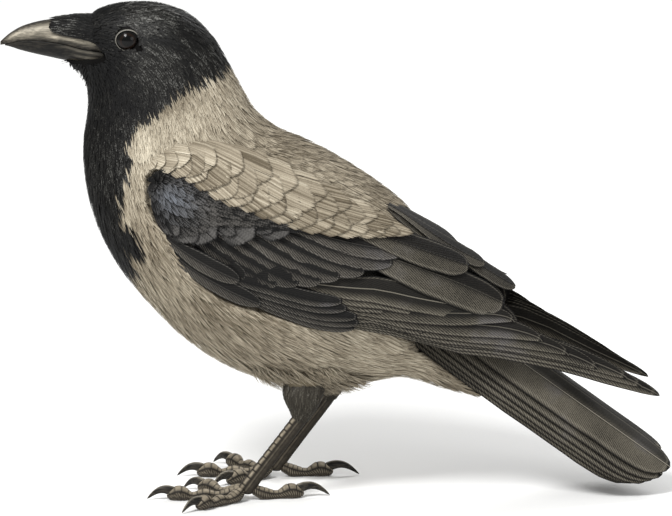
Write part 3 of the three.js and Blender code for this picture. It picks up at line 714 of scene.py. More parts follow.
def scale_finish():
    """Legs: dark skin with pale painted highlights on the scutes, side lines and pebbles, and dark
    lines between the plates.
    """
    kit = Finish("leg_scutes")
    scale_highlight, groove, _ = kit.field("tint")
    grain = kit.noise(420.0, 4.0)
    dark = kit.blend(srgb(16, 14, 12), srgb(58, 52, 44), grain)
    pale = kit.blend(srgb(116, 106, 90), srgb(190, 178, 156), grain)
    colour = kit.blend(dark, pale, scale_highlight * (0.5 + grain * 0.45))
    colour = kit.blend(colour, srgb(12, 11, 10), groove)
    normal = kit.bump(grain, 0.35, 0.0003)
    return kit.surface(Base_Color=colour, Roughness=0.5 + grain * 0.2, Normal=normal,
                       Specular_IOR_Level=0.16)


def eye_finish():
    kit = Finish("dark_brown_eye")
    radius, ray, _ = kit.field("tint")
    fibre = ((ray * 46.0).sine() * 0.5 + 0.5) * 0.5 + kit.noise(900.0, 2.0) * 0.5
    iris = kit.blend(srgb(12, 7, 5), srgb(30, 19, 12), fibre)
    colour = kit.blend(srgb(3, 3, 3), iris, radius.between(0.52, 0.6))
    colour = kit.blend(colour, srgb(8, 7, 6), radius.between(0.74, 0.84))
    return kit.surface(Base_Color=colour, Roughness=0.16, Coat_Weight=0.26,
                       Coat_Roughness=0.17, Specular_IOR_Level=0.06)


def lid_finish():
    kit = Finish("bare_eyelid")
    rim, _, _ = kit.field("tint")
    grain = kit.noise(1500.0, 3.0)
    colour = kit.blend(srgb(10, 10, 10), srgb(150, 146, 136), rim * (0.4 + grain * 0.4))
    return kit.surface(Base_Color=colour, Roughness=0.55, Normal=kit.bump(grain, 0.3, 0.0002))


PLUMAGE = plumage_finish()
SKIN = skin_finish()
COVERLETS = covert_finish()
# for both, the rim colour is the painted highlight inside each edge, the last colour the painted
# sheen
FLIGHT = vane_finish("flight_feathers", srgb(7, 6, 5), srgb(118, 112, 99),
                     srgb(150, 144, 130), srgb(88, 88, 100))
COVERTS = vane_finish("covert_feathers", srgb(7, 7, 7), srgb(108, 103, 95),
                      srgb(140, 136, 128), srgb(90, 91, 102))
HORN = horn_finish()
SCUTES = scale_finish()
EYE_GLOSS = eye_finish()
LIDS = lid_finish()


# ------------------------------------------------------------------ body plumage

def ring_lengths():
    """Even spacing round the body: turns at equal arc lengths, and the girth, per section."""
    u = np.linspace(0, LAST_SECTION, 191)
    turns = np.linspace(0, 2 * math.pi, 361)
    points = body_place(u[:, None], turns[None])
    arcs = np.concatenate([np.zeros((len(u), 1)), np.cumsum(
        np.linalg.norm(np.diff(points, axis=1), axis=-1), 1)], 1)
    return u, turns, arcs


RING_U, RING_TURNS, RING_ARCS = ring_lengths()


def spread_round(u, share):
    """Turn at a share of the girth of the body at u."""
    row = int(np.clip(round(u / LAST_SECTION * (len(RING_U) - 1)), 0, len(RING_U) - 1))
    arcs = RING_ARCS[row]
    return np.interp(share * arcs[-1], arcs, RING_TURNS), arcs[-1]


BODY_STEPS, THIGH_STEPS = (0.03, 0.02), (0.05, 0.03)

# Size of the body feathers from face to tail: pitch along and across, length, width.
PITCH_ALONG = curve([[0, 1.6], [3, 2.0], [6, 3.0], [8, 4.2], [10, 5.4], [14, 6.2], [19, 7]])
PITCH_ACROSS = curve([[0, 1.7], [3, 2.1], [6, 3.0], [8, 4.0], [10, 5.2], [14, 5.8], [19, 6]])
FEATHER_LENGTH = curve([[0, 4.5], [3, 7.0], [6, 12], [8, 16], [10, 20], [14, 25], [19, 34]])


def body_roots(rng):
    """Rows of roots round the body, each row set between those of the last."""
    places_u, places_turn = [], []
    u, row = 0.02, 0
    while u < LAST_SECTION - 0.6:
        _, girth = spread_round(u, 0)
        step = np.linalg.norm(body_place(u + 0.05, np.array([0.3, 1.5, 2.8]))
                              - body_place(u - 0.05, np.array([0.3, 1.5, 2.8])), axis=1).mean()
        count = max(int(girth / PITCH_ACROSS(u)), 6)
        share = (np.arange(count) + 0.5 * (row % 2) + rng.normal(0, 0.16, count)) / count
        turn, _ = spread_round(u, share % 1)
        places_turn.append(turn)
        du = PITCH_ALONG(u) / (step / 0.1)
        places_u.append(np.full(count, u) + rng.normal(0, 0.16, count) * du)
        u += du
        row += 1
    return np.clip(np.concatenate(places_u), 0.01, LAST_SECTION - 0.3), \
        np.concatenate(places_turn)


EYE = {"x": -123.8, "z": 279.6, "radius": 8.2, "out": 13.6}
LID_LONG, LID_HIGH = 7.5, 6.7
IRIS_RADIUS, CORNEA_RADIUS = 6.1, 4.4


BILL_HALF = curve([[-200.2, 1.1], [-196, 2.6], [-190, 4.3], [-181, 6], [-171, 7.6],
                   [-158, 9], [-146, 10.3], [-138, 11.2]])


def under_tail(points, narrow=11.0):
    """Draws the hindmost plumage in beneath the near edges of the tail."""
    x, y, z = points[..., 0], points[..., 1], points[..., 2]
    covered = ease(-3, 3, z - (89 - 0.8 * (x - 55))) * ease(38, 50, x)
    result = points.copy()
    width = np.abs(y)
    result[..., 1] = np.sign(y) * mix(width, np.minimum(width, narrow), covered)
    return result


GAPE = curve([[261.6, -172], [262.6, -163], [263.4, -154], [264.2, -146], [266.3, -139.5],
              [268.8, -137.8], [271, -138.4], [273, -141], [276.4, -144.5], [279.8, -158.6],
              [282.1, -168.8], [284, -173]])


def bare_bill(points):
    """1 where the bill's horn shows at the corner of the mouth."""
    x, z = points[..., 0], points[..., 2]
    return ease(-0.6, 1.0, GAPE(z) - x) * ease(260.6, 262, z) * ease(285, 283, z)


def clear_bill(points, below=1.6):
    """Draws plumage and skin in beneath the horn at the corner of the mouth."""
    bare = bare_bill(points)
    width = np.abs(points[..., 1])
    held = np.minimum(width, np.maximum(BILL_HALF(points[..., 0]) - below, 0.5))
    result = points.copy()
    result[..., 1] = np.sign(points[..., 1]) * mix(width, held, bare)
    return result


def body_form(u, turn):
    """The plumage's outer form, held in beneath the bill, the wings and the tail."""
    return clear_bill(under_tail(tuck(body_place(u, turn))))


BODY_BAND = (0.02, 0.78)


def bake_place(u, turn):
    """Root's place on the skin's own unwrap."""
    return 0.02 + 0.96 * np.asarray(u) / LAST_SECTION, band_place(BODY_BAND, turn)


def band_place(band, turn):
    return band[0] + (band[1] - band[0]) * np.asarray(turn) / (2 * math.pi)


BACK_LINE = curve(list(SECTIONS[6:, :2]))


def painted_light_and_tone(x, z):
    """Painted highlights and shade on the soft plumage, and other lighter and darker areas, 0.5 in
    the middle.
    """
    # painted highlight on the crown
    crown = 0.3 * np.exp(-((x + 110) / 15) ** 2 - ((z - 292) / 6) ** 2)
    # painted highlight on the cheek, ringed by painted shade, with a paler painted rim on its rear
    # side, for a bulge the form does not have
    around = np.hypot(x + 110, (z - 258) * 1.08)
    cheek = 0.22 * np.exp(-(around / 12) ** 2) - 0.3 * np.exp(-((around - 23.5) / 2.4) ** 2) \
        + 0.12 * np.exp(-((around - 19.5) / 2) ** 2) * ease(-112, -98, x)
    chin = -0.2 * ease(-118, -135, x) * ease(232, 262, z)
    patchy = 0.12 * np.sin(x * 0.05 + 1.3 * np.sin(z * 0.07))
    belly = 0.08 * ease(120, 75, z) * ease(40, 10, x) - 0.03 - 0.2 * ease(46, 70, x)
    bright = 0.08 * np.exp(-((x + 98) / 26) ** 2 - ((z - 224) / 16) ** 2) \
        + 0.4 * np.exp(-((x + 114) / 6) ** 2 - ((z - 216) / 13) ** 2)
    back = -0.3 * ease(26, 4, BACK_LINE(x) - z) * ease(-50, -20, x)
    side = -0.2 * np.exp(-((x + 82) / 30) ** 2 - ((z - 142) / 34) ** 2)
    trunk = belly + back + side
    return np.clip(0.5 + crown + cheek + chin + patchy + trunk + bright, 0, 1)


def tint_of(part, roots, rng, black=None, outline_shade_strength=0.0):
    """Marks each strand by where its visible end lies: black, tone with painted light and shade,
    and the strength of a painted-shade outline.
    """
    strands = part["points"].reshape(-1, part["per_strand"], 3)
    ends = strands[:, -4] + rng.normal(0, 0.5, (len(strands), 3))
    dark = (hood(ends) > 0.5).astype(float) if black is None \
        else np.full(len(ends), float(black))
    tone_and_painted_light = painted_light_and_tone(ends[:, 0], ends[:, 2])
    per_root = len(strands) // len(roots)
    rim = np.repeat(np.broadcast_to(outline_shade_strength, len(roots)), per_root)
    values = np.stack([dark, tone_and_painted_light, rim * (1 - dark)], -1)
    part["tint"] = np.repeat(values, part["per_strand"], 0)
    return part


def eye_rim_roots(rng):
    """Places close round the rear of the eye for its short feathers."""
    u, turn = rng.uniform(0.5, 4.0, 16000), rng.uniform(0, 2 * math.pi, 16000)
    x, _, z = body_form(u, turn).T
    ring = np.hypot((x - EYE["x"]) / LID_LONG, (z - EYE["z"]) / LID_HIGH)
    near = (ring > 0.92) & (ring < 1.35) & (x > EYE["x"] - 2)
    return u[near][:700], turn[near][:700]


def dress_body():
    rng = np.random.default_rng(SEEDS["body"])
    u, turn = body_roots(rng)
    roots = body_form(u, turn)
    length = FEATHER_LENGTH(u) * rng.uniform(0.86, 1.12, len(u))
    tips = body_form(np.clip(u + 0.9, 0, LAST_SECTION), turn)
    hidden = (under_wing(roots) > 0.97) & (under_wing(tips) > 0.97)
    eye = np.hypot((roots[:, 0] - EYE["x"]) / (LID_LONG + 0.4),
                   (roots[:, 2] - EYE["z"]) / (LID_HIGH + 0.4))
    hidden |= eye < 1.0
    hidden |= (u < 0.35) | (bare_bill(roots) > 0.3)
    keep = ~hidden
    u, turn, roots, length = u[keep], turn[keep], roots[keep], length[keep]
    rim = eye_rim_roots(rng)
    u, turn = np.concatenate([u, rim[0]]), np.concatenate([turn, rim[1]])
    roots = body_form(u, turn)
    length = np.concatenate([length, rng.uniform(3.5, 5.5, len(rim[0]))])
    # feathers just in front of the eye are shorter, so none crosses it
    before_eye = np.exp(-(((roots[:, 0] - EYE["x"] + 9) / 7) ** 2
                          + ((roots[:, 2] - EYE["z"]) / 8) ** 2))
    behind_eye = np.exp(-(((roots[:, 0] - EYE["x"] - 10) / 4) ** 2
                          + ((roots[:, 2] - EYE["z"]) / 8) ** 2))
    length = length * (1 - 0.55 * before_eye)
    half = PITCH_ACROSS(u) * 0.86
    throat = ease(2.2, 2.7, math.pi - np.abs(turn - math.pi)) * ease(2, 5, u) \
        * (1 - ease(9, 11.5, u))
    low_side = np.abs(turn - math.pi) < 1.5
    side_of = np.where(roots[:, 1] < 0, LEFT, RIGHT)
    # name, zone, strands, point, thickness, unevenness, rise, length, width
    groups = [("head_feathers", u < 4.2, 3, 0.5, 0.09, 0.03, 0.06, 1.25, 0.95),
              ("neck_feathers", (u >= 4.2) & (u < 8.5), 7, 0.55, 0.13, 0.04, 0.15, 1.15, 0.95),
              ("breast_feathers", (u >= 8.5) & low_side, 9, 0.42, 0.15, 0.045, 0.2, 1.1, 0.95),
              ("mantle_feathers", (u >= 8.5) & ~low_side, 10, 0.22, 0.15, 0.03, 0.25, 1.0, 1.0)]
    for name, zone, strands, point, thick, uneven, rise, longer, wider in groups:
        mantle = name == "mantle_feathers"
        for side, sign in SIDES.items():
            chosen = zone & (side_of == sign)
            cu, ct = u[chosen], turn[chosen]
            slack = throat[chosen]
            # feathers beside the folded wing lie over its upper edge
            beside = under_wing(roots[chosen])
            lap = 2.6 * ease(0.02, 0.2, beside) * ease(0.98, 0.7, beside) \
                * ease(8.5, 10, cu) if mantle else 0.0
            long = length[chosen] * (1 + 0.35 * slack) * longer
            part = feathers(
                body_form, cu, ct, rng, length=long,
                half=half[chosen] * (1 - 0.25 * slack) * wider,
                strands=strands, point=point, heading=rng.normal(0, 0.06, len(cu)),
                sink=(-0.09 * long - 0.2) * (1 - 0.85 * behind_eye[chosen]),
                rise=rise + lap, thick=thick, uneven=uneven,
                loose=0.04 if mantle else 0.07, taper=0.45 if mantle else 0.75,
                outward=OUTWARD, steps=BODY_STEPS, patch=bake_place(cu, ct))
            at = roots[chosen]
            # mantle feathers get a stronger painted-shade outline
            outline_shade_strength = ease(-112, -92, at[:, 0]) * ease(60, 30, at[:, 0]) * 0.12 if mantle else 0
            tint_of(part, at, rng, outline_shade_strength=outline_shade_strength)
            feather_piece(f"{name}_{side}", part, PLUMAGE,
                          "black_plumage" if name == "head_feathers" else "grey_plumage")


def body_outward():
    """Sign that turns the surface normal of the body form outward."""
    _, _, _, normal = tangents(body_place, np.array([8.0]), np.array([1.5]), *BODY_STEPS)
    return 1 if normal[0, 1] > 0 else -1


OUTWARD = body_outward()


# ------------------------------------------------------------------ thighs

FEET = {"left": (-53.4, -28.0, 191.0), "right": (-36.4, 28.0, 176.0)}
TARSUS_RUN, TARSUS_RISE, ANKLE_Z = 31.8, 42.5, 8.0
THIGH = np.array([[10, 56, 24, 14], [4.5, 30, 30, 15], [1.9, 15, 25, 16], [1.6, 5, 16.2, 12],
                  [0.4, -2.0, 8.2, 7.6]])
THIGH_COLUMNS = [curve(list(enumerate(THIGH[:, k]))) for k in range(4)]


def thigh_form(side):
    foot_x, foot_y, _ = FEET[side]
    x0, z0 = foot_x + TARSUS_RUN, ANKLE_Z + TARSUS_RISE

    def place(s, turn):
        dx, dz, deep, wide = (column(s) for column in THIGH_COLUMNS)
        return np.stack([x0 + dx + deep / 2 * np.cos(turn),
                         foot_y + wide / 2 * np.sin(turn), z0 + dz + 0 * turn], -1)
    return place


def dress_thighs():
    rng = np.random.default_rng(SEEDS["thighs"])
    for index, side in enumerate(SIDES):
        place = thigh_form(side)
        s_list, t_list = [], []
        for row, s in enumerate(np.linspace(1.5, 3.8, 16)):
            count = int(mix(30, 15, s / 4))
            s_list.append(s + rng.normal(0, 0.04, count))
            t_list.append((np.arange(count) + 0.5 * (row % 2)) / count * 2 * math.pi)
        s, turn = np.concatenate(s_list), np.concatenate(t_list)
        length = mix(16, 6, s / 4) * rng.uniform(0.9, 1.1, len(s))
        band = (0.80 + 0.1 * index, 0.88 + 0.1 * index)
        part = feathers(place, s, turn, rng, length=length, half=mix(3.0, 1.5, s / 4),
                        strands=4, point=0.5, sink=-1.6, rise=0.2, thick=0.25,
                        outward=thigh_outward(place), steps=THIGH_STEPS,
                        patch=(0.02 + 0.9 * s / 4, band_place(band, turn)))
        tint_of(part, place(s, turn), rng, black=0.88)
        part["tint"][:, 1] = 0.42
        feather_piece(f"thigh_feathers_{side}", part, PLUMAGE, "black_plumage")


def dress_fringe():
    """Long loose feathers of the belly hang over the tops of the thighs."""
    rng = np.random.default_rng(SEEDS["fringe"])
    u, turn = rng.uniform(8.5, 18.0, 6000), rng.uniform(math.pi - 1.5, math.pi + 1.5, 6000)
    roots = body_form(u, turn)
    x, y, z = roots.T
    near = np.minimum(np.hypot((x + 24) / 30, (y + 27) / 17), np.hypot((x + 8) / 28, (y - 27) / 17))
    keep = (near < 1) & (z < 84) & (under_wing(roots) < 0.1)
    u, turn, roots = u[keep][:700], turn[keep][:700], roots[keep][:700]
    part = feathers(body_form, u, turn, rng, length=rng.uniform(15, 22, len(u)), half=3.0,
                    heading=rng.normal(0, 0.12, len(u)), strands=8, point=0.6, loose=0.2,
                    sink=-1.6, thick=0.16, uneven=0.15,
                    rise=rng.uniform(0.8, 4.2, len(u)) + 1.6 * (roots[:, 1] < 0),
                    outward=OUTWARD, steps=BODY_STEPS, patch=bake_place(u, turn))
    tint_of(part, roots, rng, black=0.0)
    feather_piece("belly_fringe", part, PLUMAGE, "grey_plumage")


def thigh_outward(place):
    _, _, _, normal = tangents(place, np.array([2.0]), np.array([0.0]), *THIGH_STEPS)
    return 1 if normal[0, 0] > 0 else -1


# ------------------------------------------------------------------ skin

SKIN_DEPTH, SKIN_VOXEL = 2.6, 1.5


def closed_tube(points):
    """Points (rings, around, 3) as a closed mesh."""
    rings, around = points.shape[:2]
    quads, triangles = tube_faces(rings, around)
    return points.reshape(-1, 3), np.array(quads), np.array(triangles)


def sunk(place, a, b, outward, steps, depth):
    here, _, _, normal = tangents(place, a, b, *steps)
    return here - normal * outward * np.asarray(depth)[..., None]


def skin_parts():
    u = np.concatenate([np.linspace(0.35, 6, 60), np.linspace(6.1, LAST_SECTION - 0.4, 110)])
    turn = np.linspace(0, 2 * math.pi, 97)[:-1]
    uu, tt = np.meshgrid(u, turn, indexing="ij")
    depth = mix(1.0, SKIN_DEPTH, ease(0, 8, uu))
    parts = [sunk(body_form, uu, tt, OUTWARD, BODY_STEPS, depth)]
    for side in SIDES:
        place = thigh_form(side)
        ss, tt = np.meshgrid(np.linspace(0.05, 3.95, 30), turn[::2], indexing="ij")
        parts.append(sunk(place, ss, tt, thigh_outward(place), THIGH_STEPS, 1.6 + 0 * ss))
    for place, low, high, inward in ((nasal_form, 2, 27.5, 1.0), (chin_form, 2, 21.5, 0.8)):
        aa, tt = np.meshgrid(np.linspace(low, high, 14), np.linspace(-0.05, math.pi + 0.05, 24),
                             indexing="ij")
        parts.append(place(aa, tt, -inward))
    return parts


def build_skin():
    whole = joined([dict(zip(("points", "quads", "triangles"), closed_tube(grid)))
                    for grid in skin_parts()])
    draft = make_mesh("skin_draft", whole["points"], [whole["quads"], whole["triangles"]])
    remesh = draft.modifiers.new("one_skin", "REMESH")
    remesh.mode = "VOXEL"
    remesh.voxel_size = SKIN_VOXEL * MM
    smooth = draft.modifiers.new("soften", "SMOOTH")
    smooth.iterations = 4
    smooth.factor = 0.5
    graph = bpy.context.evaluated_depsgraph_get()
    mesh = bpy.data.meshes.new_from_object(draft.evaluated_get(graph))
    bpy.data.objects.remove(draft)
    skin = bpy.data.objects.new("skin", mesh)
    mesh.name = "skin"
    bpy.context.scene.collection.objects.link(skin)
    spots = np.empty(len(mesh.vertices) * 3)
    mesh.vertices.foreach_get("co", spots)
    spots = spots.reshape(-1, 3) / MM
    black = hood(spots)
    legs = ease(76, 66, spots[:, 2])
    values = np.stack([np.maximum(black, legs), 0.5 + 0 * black, 0 * black], -1)
    layer = mesh.attributes.new("tint", "FLOAT_VECTOR", "POINT")
    layer.data.foreach_set("vector", values.astype(np.float32).ravel())
    mesh.polygons.foreach_set("use_smooth", np.ones(len(mesh.polygons), bool))
    mesh.materials.clear()
    dress(skin, SKIN, "grey_plumage", "head", "neck", "trunk", "rump", "thigh_left",
          "thigh_right")


# ------------------------------------------------------------------ bill

CULMEN = curve([[-200.2, 275.2], [-197.9, 277.4], [-194.3, 280.4], [-188.4, 284.0],
                [-182.4, 286.2], [-176.5, 287.7], [-170.5, 288.7], [-164.5, 289.6],
                [-158.6, 290.2], [-152.6, 290.6], [-146.7, 290.6], [-138, 290]])
TOMIUM = curve([[-200.2, 273.2], [-194.4, 274.8], [-188.5, 276.5], [-182.5, 277.1],
                [-176.5, 277], [-170.6, 276.6], [-164.6, 275.7], [-158.6, 274.5],
                [-152.7, 273], [-146.7, 271.9], [-138, 270.8]])
JAW = curve([[-197.5, 272.9], [-194.5, 272.2], [-188.6, 270.2], [-182.6, 268.6],
             [-176.6, 267.2], [-170.7, 265.9], [-164.7, 264.6], [-158.7, 263.4],
             [-152.8, 262.2], [-146.8, 261.3], [-138, 261.3]])
CHIN = curve([[-164, 263.8], [-160, 262.6], [-157.6, 261], [-155.2, 259.2], [-152.8, 256.8],
              [-150.4, 253], [-148.6, 248], [-144, 244]])


BILL_RIDGE = 0.85
BILL_TIP_X, BILL_RUN = -200.2, 62.2
JAW_TIP_X, JAW_RUN = -197.4, 59.4
FACE_X = -144.0
FACE_STEPS = (0.2, 0.03)


def arch(x, half, edge, crest, turn):
    """Point of a half-round section between z = edge and z = crest."""
    rise = power(np.sin(turn), BILL_RIDGE)
    return np.stack([x + 0 * turn, half * np.cos(turn), mix(edge, crest, rise)], -1)


def nasal_form(run, turn, grow=0.0):
    """Bristly mound over the nostrils; run grows forward from the forehead."""
    x = FACE_X - run
    t = np.clip(1 - run / 28, 0, 1)
    half = BILL_HALF(x) + mix(0.4, 2.2, t ** 0.6) + grow
    mound = arch(x, half, mix(282.8, 276.4, t), CULMEN(x) + mix(0.3, 1.2, t ** 0.5) + grow,
                 turn)
    return clear_bill(mound)


def chin_form(run, turn, grow=0.0):
    x = FACE_X - run
    rear = np.clip(1 - run / 22, 0, 1)
    half = BILL_HALF(x) * mix(0.75, 1.12, rear) + grow
    return clear_bill(arch(x, half, mix(265.4, 263.6, rear), CHIN(x) - grow, turn))


def build_bill():
    turn = np.linspace(0, math.pi, 33)
    across, rise = np.cos(turn), power(np.sin(turn), BILL_RIDGE)
    x = np.concatenate([[BILL_TIP_X], BILL_TIP_X + BILL_RUN * np.linspace(0.002, 1, 70) ** 1.35])
    xx = x[:, None]
    half = BILL_HALF(xx) * np.minimum(1, np.sqrt(np.clip((xx + 200.6) / 3, 0.05, 1)) + 0.1)
    bulge = 1 + 0.03 * np.sin(rise[None] * math.pi)
    upper = np.stack([xx + 0 * across, half * across * bulge,
                      mix(TOMIUM(xx), CULMEN(xx), rise)], -1)
    overhang = np.stack([xx + 0 * across, half * across * 0.9,
                         TOMIUM(xx) + 0.9 * rise ** 0.5], -1)[:, ::-1]
    ring = np.concatenate([upper, overhang[:, 1:-1]], 1)
    build_horn("bill_upper_horn", ring, "bill_upper", crest=CULMEN)
    x = np.concatenate([[JAW_TIP_X], JAW_TIP_X + JAW_RUN * np.linspace(0.002, 1, 66) ** 1.3])
    xx = x[:, None]
    half = BILL_HALF(xx) * 0.93
    top = TOMIUM(xx) - 0.35
    bottom = np.minimum(JAW(xx), top - 0.7)
    lower = np.stack([xx + 0 * across, half * across, mix(top, bottom, rise)], -1)
    inner = np.stack([xx + 0 * across, half * across * 0.8,
                      top + 0.7 * (1 - rise) * ease(-138, -190, xx)], -1)[:, ::-1]
    build_horn("bill_lower_horn", np.concatenate([lower, inner[:, 1:-1]], 1), "bill_lower",
               crest=None)


def build_horn(name, ring, node, crest):
    points, quads, triangles = closed_tube(ring)
    quads, triangles = (outward_faces(points, quads, f) for f in (quads, triangles))
    x, _, z = points.T
    # painted highlights: pale bands along the upper mandible, and pale strokes at the rear of the
    # lower jaw
    if crest:
        height = (z - TOMIUM(x)) / (CULMEN(x) - TOMIUM(x))
        front, rear = ease(-160, -172, x), ease(-174, -166, x)
        horn_highlight = (0.85 * np.exp(-((height - 0.62) / 0.2) ** 2) * front * ease(-200.2, -190, x)
                + 0.3 * np.exp(-((height - 0.3) / 0.2) ** 2) * front * ease(-198, -186, x)
                + 0.85 * np.exp(-((height - 0.26) / 0.07) ** 2) * rear
                + 0.45 * np.exp(-((height - 0.09) / 0.035) ** 2) * rear)
    else:
        height = (TOMIUM(x) - z) / np.maximum(TOMIUM(x) - JAW(x), 1)
        rear = ease(-162, -148, x)
        horn_highlight = (0.5 * np.exp(-((height - 0.82) / 0.07) ** 2) * rear
                + 0.45 * np.exp(-((height - 0.5) / 0.05) ** 2) * rear
                + 0.4 * np.exp(-((height - 0.2) / 0.05) ** 2) * ease(-170, -150, x))
    horn_highlight = np.clip(horn_highlight, 0, 1) * mix(1, 0.25, ease(-146, -139, x))
    # the tint's second field marks the lower jaw, which the finish paints darker as shade
    tint = np.stack([horn_highlight, 0 * x + (crest is None), 0 * x], -1)
    dress(make_mesh(name, points, [quads, triangles], fields={"tint": tint}), HORN, "bill", node)


def face_roots(form, rows, count, spread, rng):
    """Staggered rows of roots on a form of the face, and the sign that turns its normal up."""
    run, turn = [], []
    for row, start in enumerate(rows):
        turn.append((np.arange(count) + 0.5 * (row % 2) + rng.normal(0, 0.2, count))
                    / count * math.pi)
        run.append(start + rng.normal(0, spread, count))
    run, turn = np.concatenate(run), np.clip(np.concatenate(turn), 0.04, math.pi - 0.04)
    clothed = bare_bill(form(run, turn)) < 0.4
    _, _, _, normal = tangents(form, np.array([10.0]), np.array([1.57]), *FACE_STEPS)
    return run[clothed], turn[clothed], 1 if normal[0, 2] > 0 else -1


def dress_face():
    """Bristles lie forward over the nostrils and down from the chin."""
    rng = np.random.default_rng(SEEDS["face"])
    run, turn, upward = face_roots(nasal_form, np.linspace(-11, 19, 27), 40, 0.5, rng)
    part = feathers(nasal_form, run, turn, rng, length=mix(11, 8, np.clip(run / 20, 0, 1)),
                    half=0.36, strands=1, point=0.3, sink=-0.6, rise=0.35, thick=0.3,
                    uneven=0.15, outward=upward, steps=FACE_STEPS,
                    patch=(0.02 + 0.4 * (run + 4) / 26, 0.985 + 0 * turn))
    tint_of(part, nasal_form(run, turn), rng, black=1.0)
    shade = rng.uniform(0.12, 1.0, len(run)) ** 1.2 * mix(0.45, 1, ease(-9, 9, run))
    part["tint"][:, 1] = np.repeat(shade, part["per_feather"])
    feather_piece("nostril_bristles", part, PLUMAGE, "black_plumage")
    run, turn, upward = face_roots(chin_form, np.linspace(19.5, -2, 14), 22, 0.4, rng)
    loose = rng.uniform(0, 1, len(run)) ** 3
    part = feathers(chin_form, run, turn, rng, length=rng.uniform(3.5, 6.0, len(run)), half=0.42,
                    aim=np.tile([-0.45, 0.0, -1.0], (len(run), 1)), strands=1,
                    point=0.3, sink=-0.6, rise=0.2 + 2.6 * loose, thick=0.25,
                    uneven=0.2, outward=-upward,
                    steps=FACE_STEPS, patch=(0.5 + 0.4 * (run + 4) / 26, 0.985 + 0 * turn))
    tint_of(part, chin_form(run, turn), rng, black=1.0)
    feather_piece("chin_feathers", part, PLUMAGE, "black_plumage")


# ------------------------------------------------------------------ eyes

def build_eyes():
    for side, sign in SIDES.items():
        polar = np.linspace(0, math.pi, 41)
        ray = np.linspace(0, 2 * math.pi, 65)[:-1]
        pp, rr = np.meshgrid(polar[1:-1], ray, indexing="ij")
        ball = np.stack([np.sin(pp) * np.cos(rr), np.cos(pp), np.sin(pp) * np.sin(rr)], -1)
        points = ball.reshape(-1, 3) * EYE["radius"]
        points = np.concatenate([points, [[0, EYE["radius"], 0], [0, -EYE["radius"], 0]]])
        cornea = 0.5 * np.exp(-((np.hypot(points[:, 0], points[:, 2]) / CORNEA_RADIUS) ** 4)) \
            * (points[:, 1] > 0)
        points[:, 1] += cornea
        around = len(ray)
        quads, _ = tube_faces(len(polar) - 2, around)
        first, last = len(points) - 2, len(points) - 1
        triangles = []
        end = (len(polar) - 3) * around
        for j in range(around):
            k = (j + 1) % around
            triangles.append([first, k, j])
            triangles.append([last, end + j, end + k])
        radius = np.hypot(points[:, 0], points[:, 2]) / IRIS_RADIUS
        angle = np.arctan2(points[:, 2], points[:, 0])
        points[:, 1] = points[:, 1] * sign + sign * EYE["out"]
        points[:, 0] += EYE["x"]
        points[:, 2] += EYE["z"]
        quads, triangles = np.array(quads), np.array(triangles)
        if sign < 0:
            quads, triangles = quads[:, ::-1], triangles[:, ::-1]
        tint = np.stack([radius, angle, 0 * radius], -1)
        dress(make_mesh(f"eyeball_{side}", points, [quads, triangles], fields={"tint": tint}),
              EYE_GLOSS, "eye", f"eye_{side}")
        build_lid(side, sign)


def build_lid(side, sign):
    """A ring of bare skin round the eye, beaded at its rim."""
    ray = np.linspace(0, 2 * math.pi, 97)[:-1]
    turn = np.linspace(0, 2 * math.pi, 17)[:-1]
    rr, tt = np.meshgrid(ray, turn, indexing="ij")
    # oval opening
    inner_long, inner_high = 6.8, 6.05
    width = 0.75
    profile_in, profile_out = np.cos(tt) * width / 2, np.sin(tt) * 0.7
    middle = width / 2
    bead = 1 + 0.10 * np.sin(rr * 30)
    long = inner_long + middle + profile_in * bead
    high = inner_high + middle + profile_in * bead
    x = EYE["x"] + long * np.cos(rr)
    z = EYE["z"] + high * np.sin(rr)
    radius = np.hypot(long * np.cos(rr), high * np.sin(rr))
    ball = np.sqrt(np.maximum(EYE["radius"] ** 2 - np.minimum(radius, 8.0) ** 2, 0.0))
    out = EYE["out"] + ball + 0.15 + profile_out * bead
    points = np.stack([x, sign * out, z], -1)
    rings, around = points.shape[:2]
    quads = []
    for i in range(rings):
        for j in range(around):
            k, n = (j + 1) % around, (i + 1) % rings
            quads.append([i * around + j, i * around + k, n * around + k, n * around + j])
    quads = np.array(quads)
    if sign > 0:
        quads = quads[:, ::-1]
    rim = np.clip(np.sin(tt), 0, 1) ** 1.5
    tint = np.stack([rim, 0 * rim, 0 * rim], -1).reshape(-1, 3)
    dress(make_mesh(f"eyelid_{side}", points.reshape(-1, 3), [quads], fields={"tint": tint}),
          LIDS, "black_plumage")


# ------------------------------------------------------------------ long feathers

VANE_STOPS = np.array([0, .07, .15, .24, .33, .42, .51, .6, .68, .75, .81, .86, .9, .935, .962,
                       .982, .994, 1])
VANE_LANES = np.array([-1, -.78, -.52, -.26, -.045, 0, .045, .26, .52, .78, 1])


def vane_outline(t, blunt=0.8, belly=0.5, base=0.42):
    """Half width of a feather along its length, 1 at its widest."""
    body = mix(base, 1.0, ease(0, belly, t)) * (1 - 0.06 * ease(0.6, 1, t))
    end = np.sqrt(np.clip(1 - (np.clip(t - blunt, 0, 1) / (1 - blunt)) ** 2, 0, 1))
    return np.maximum(body * np.where(t > blunt, end, 1), 0.04)


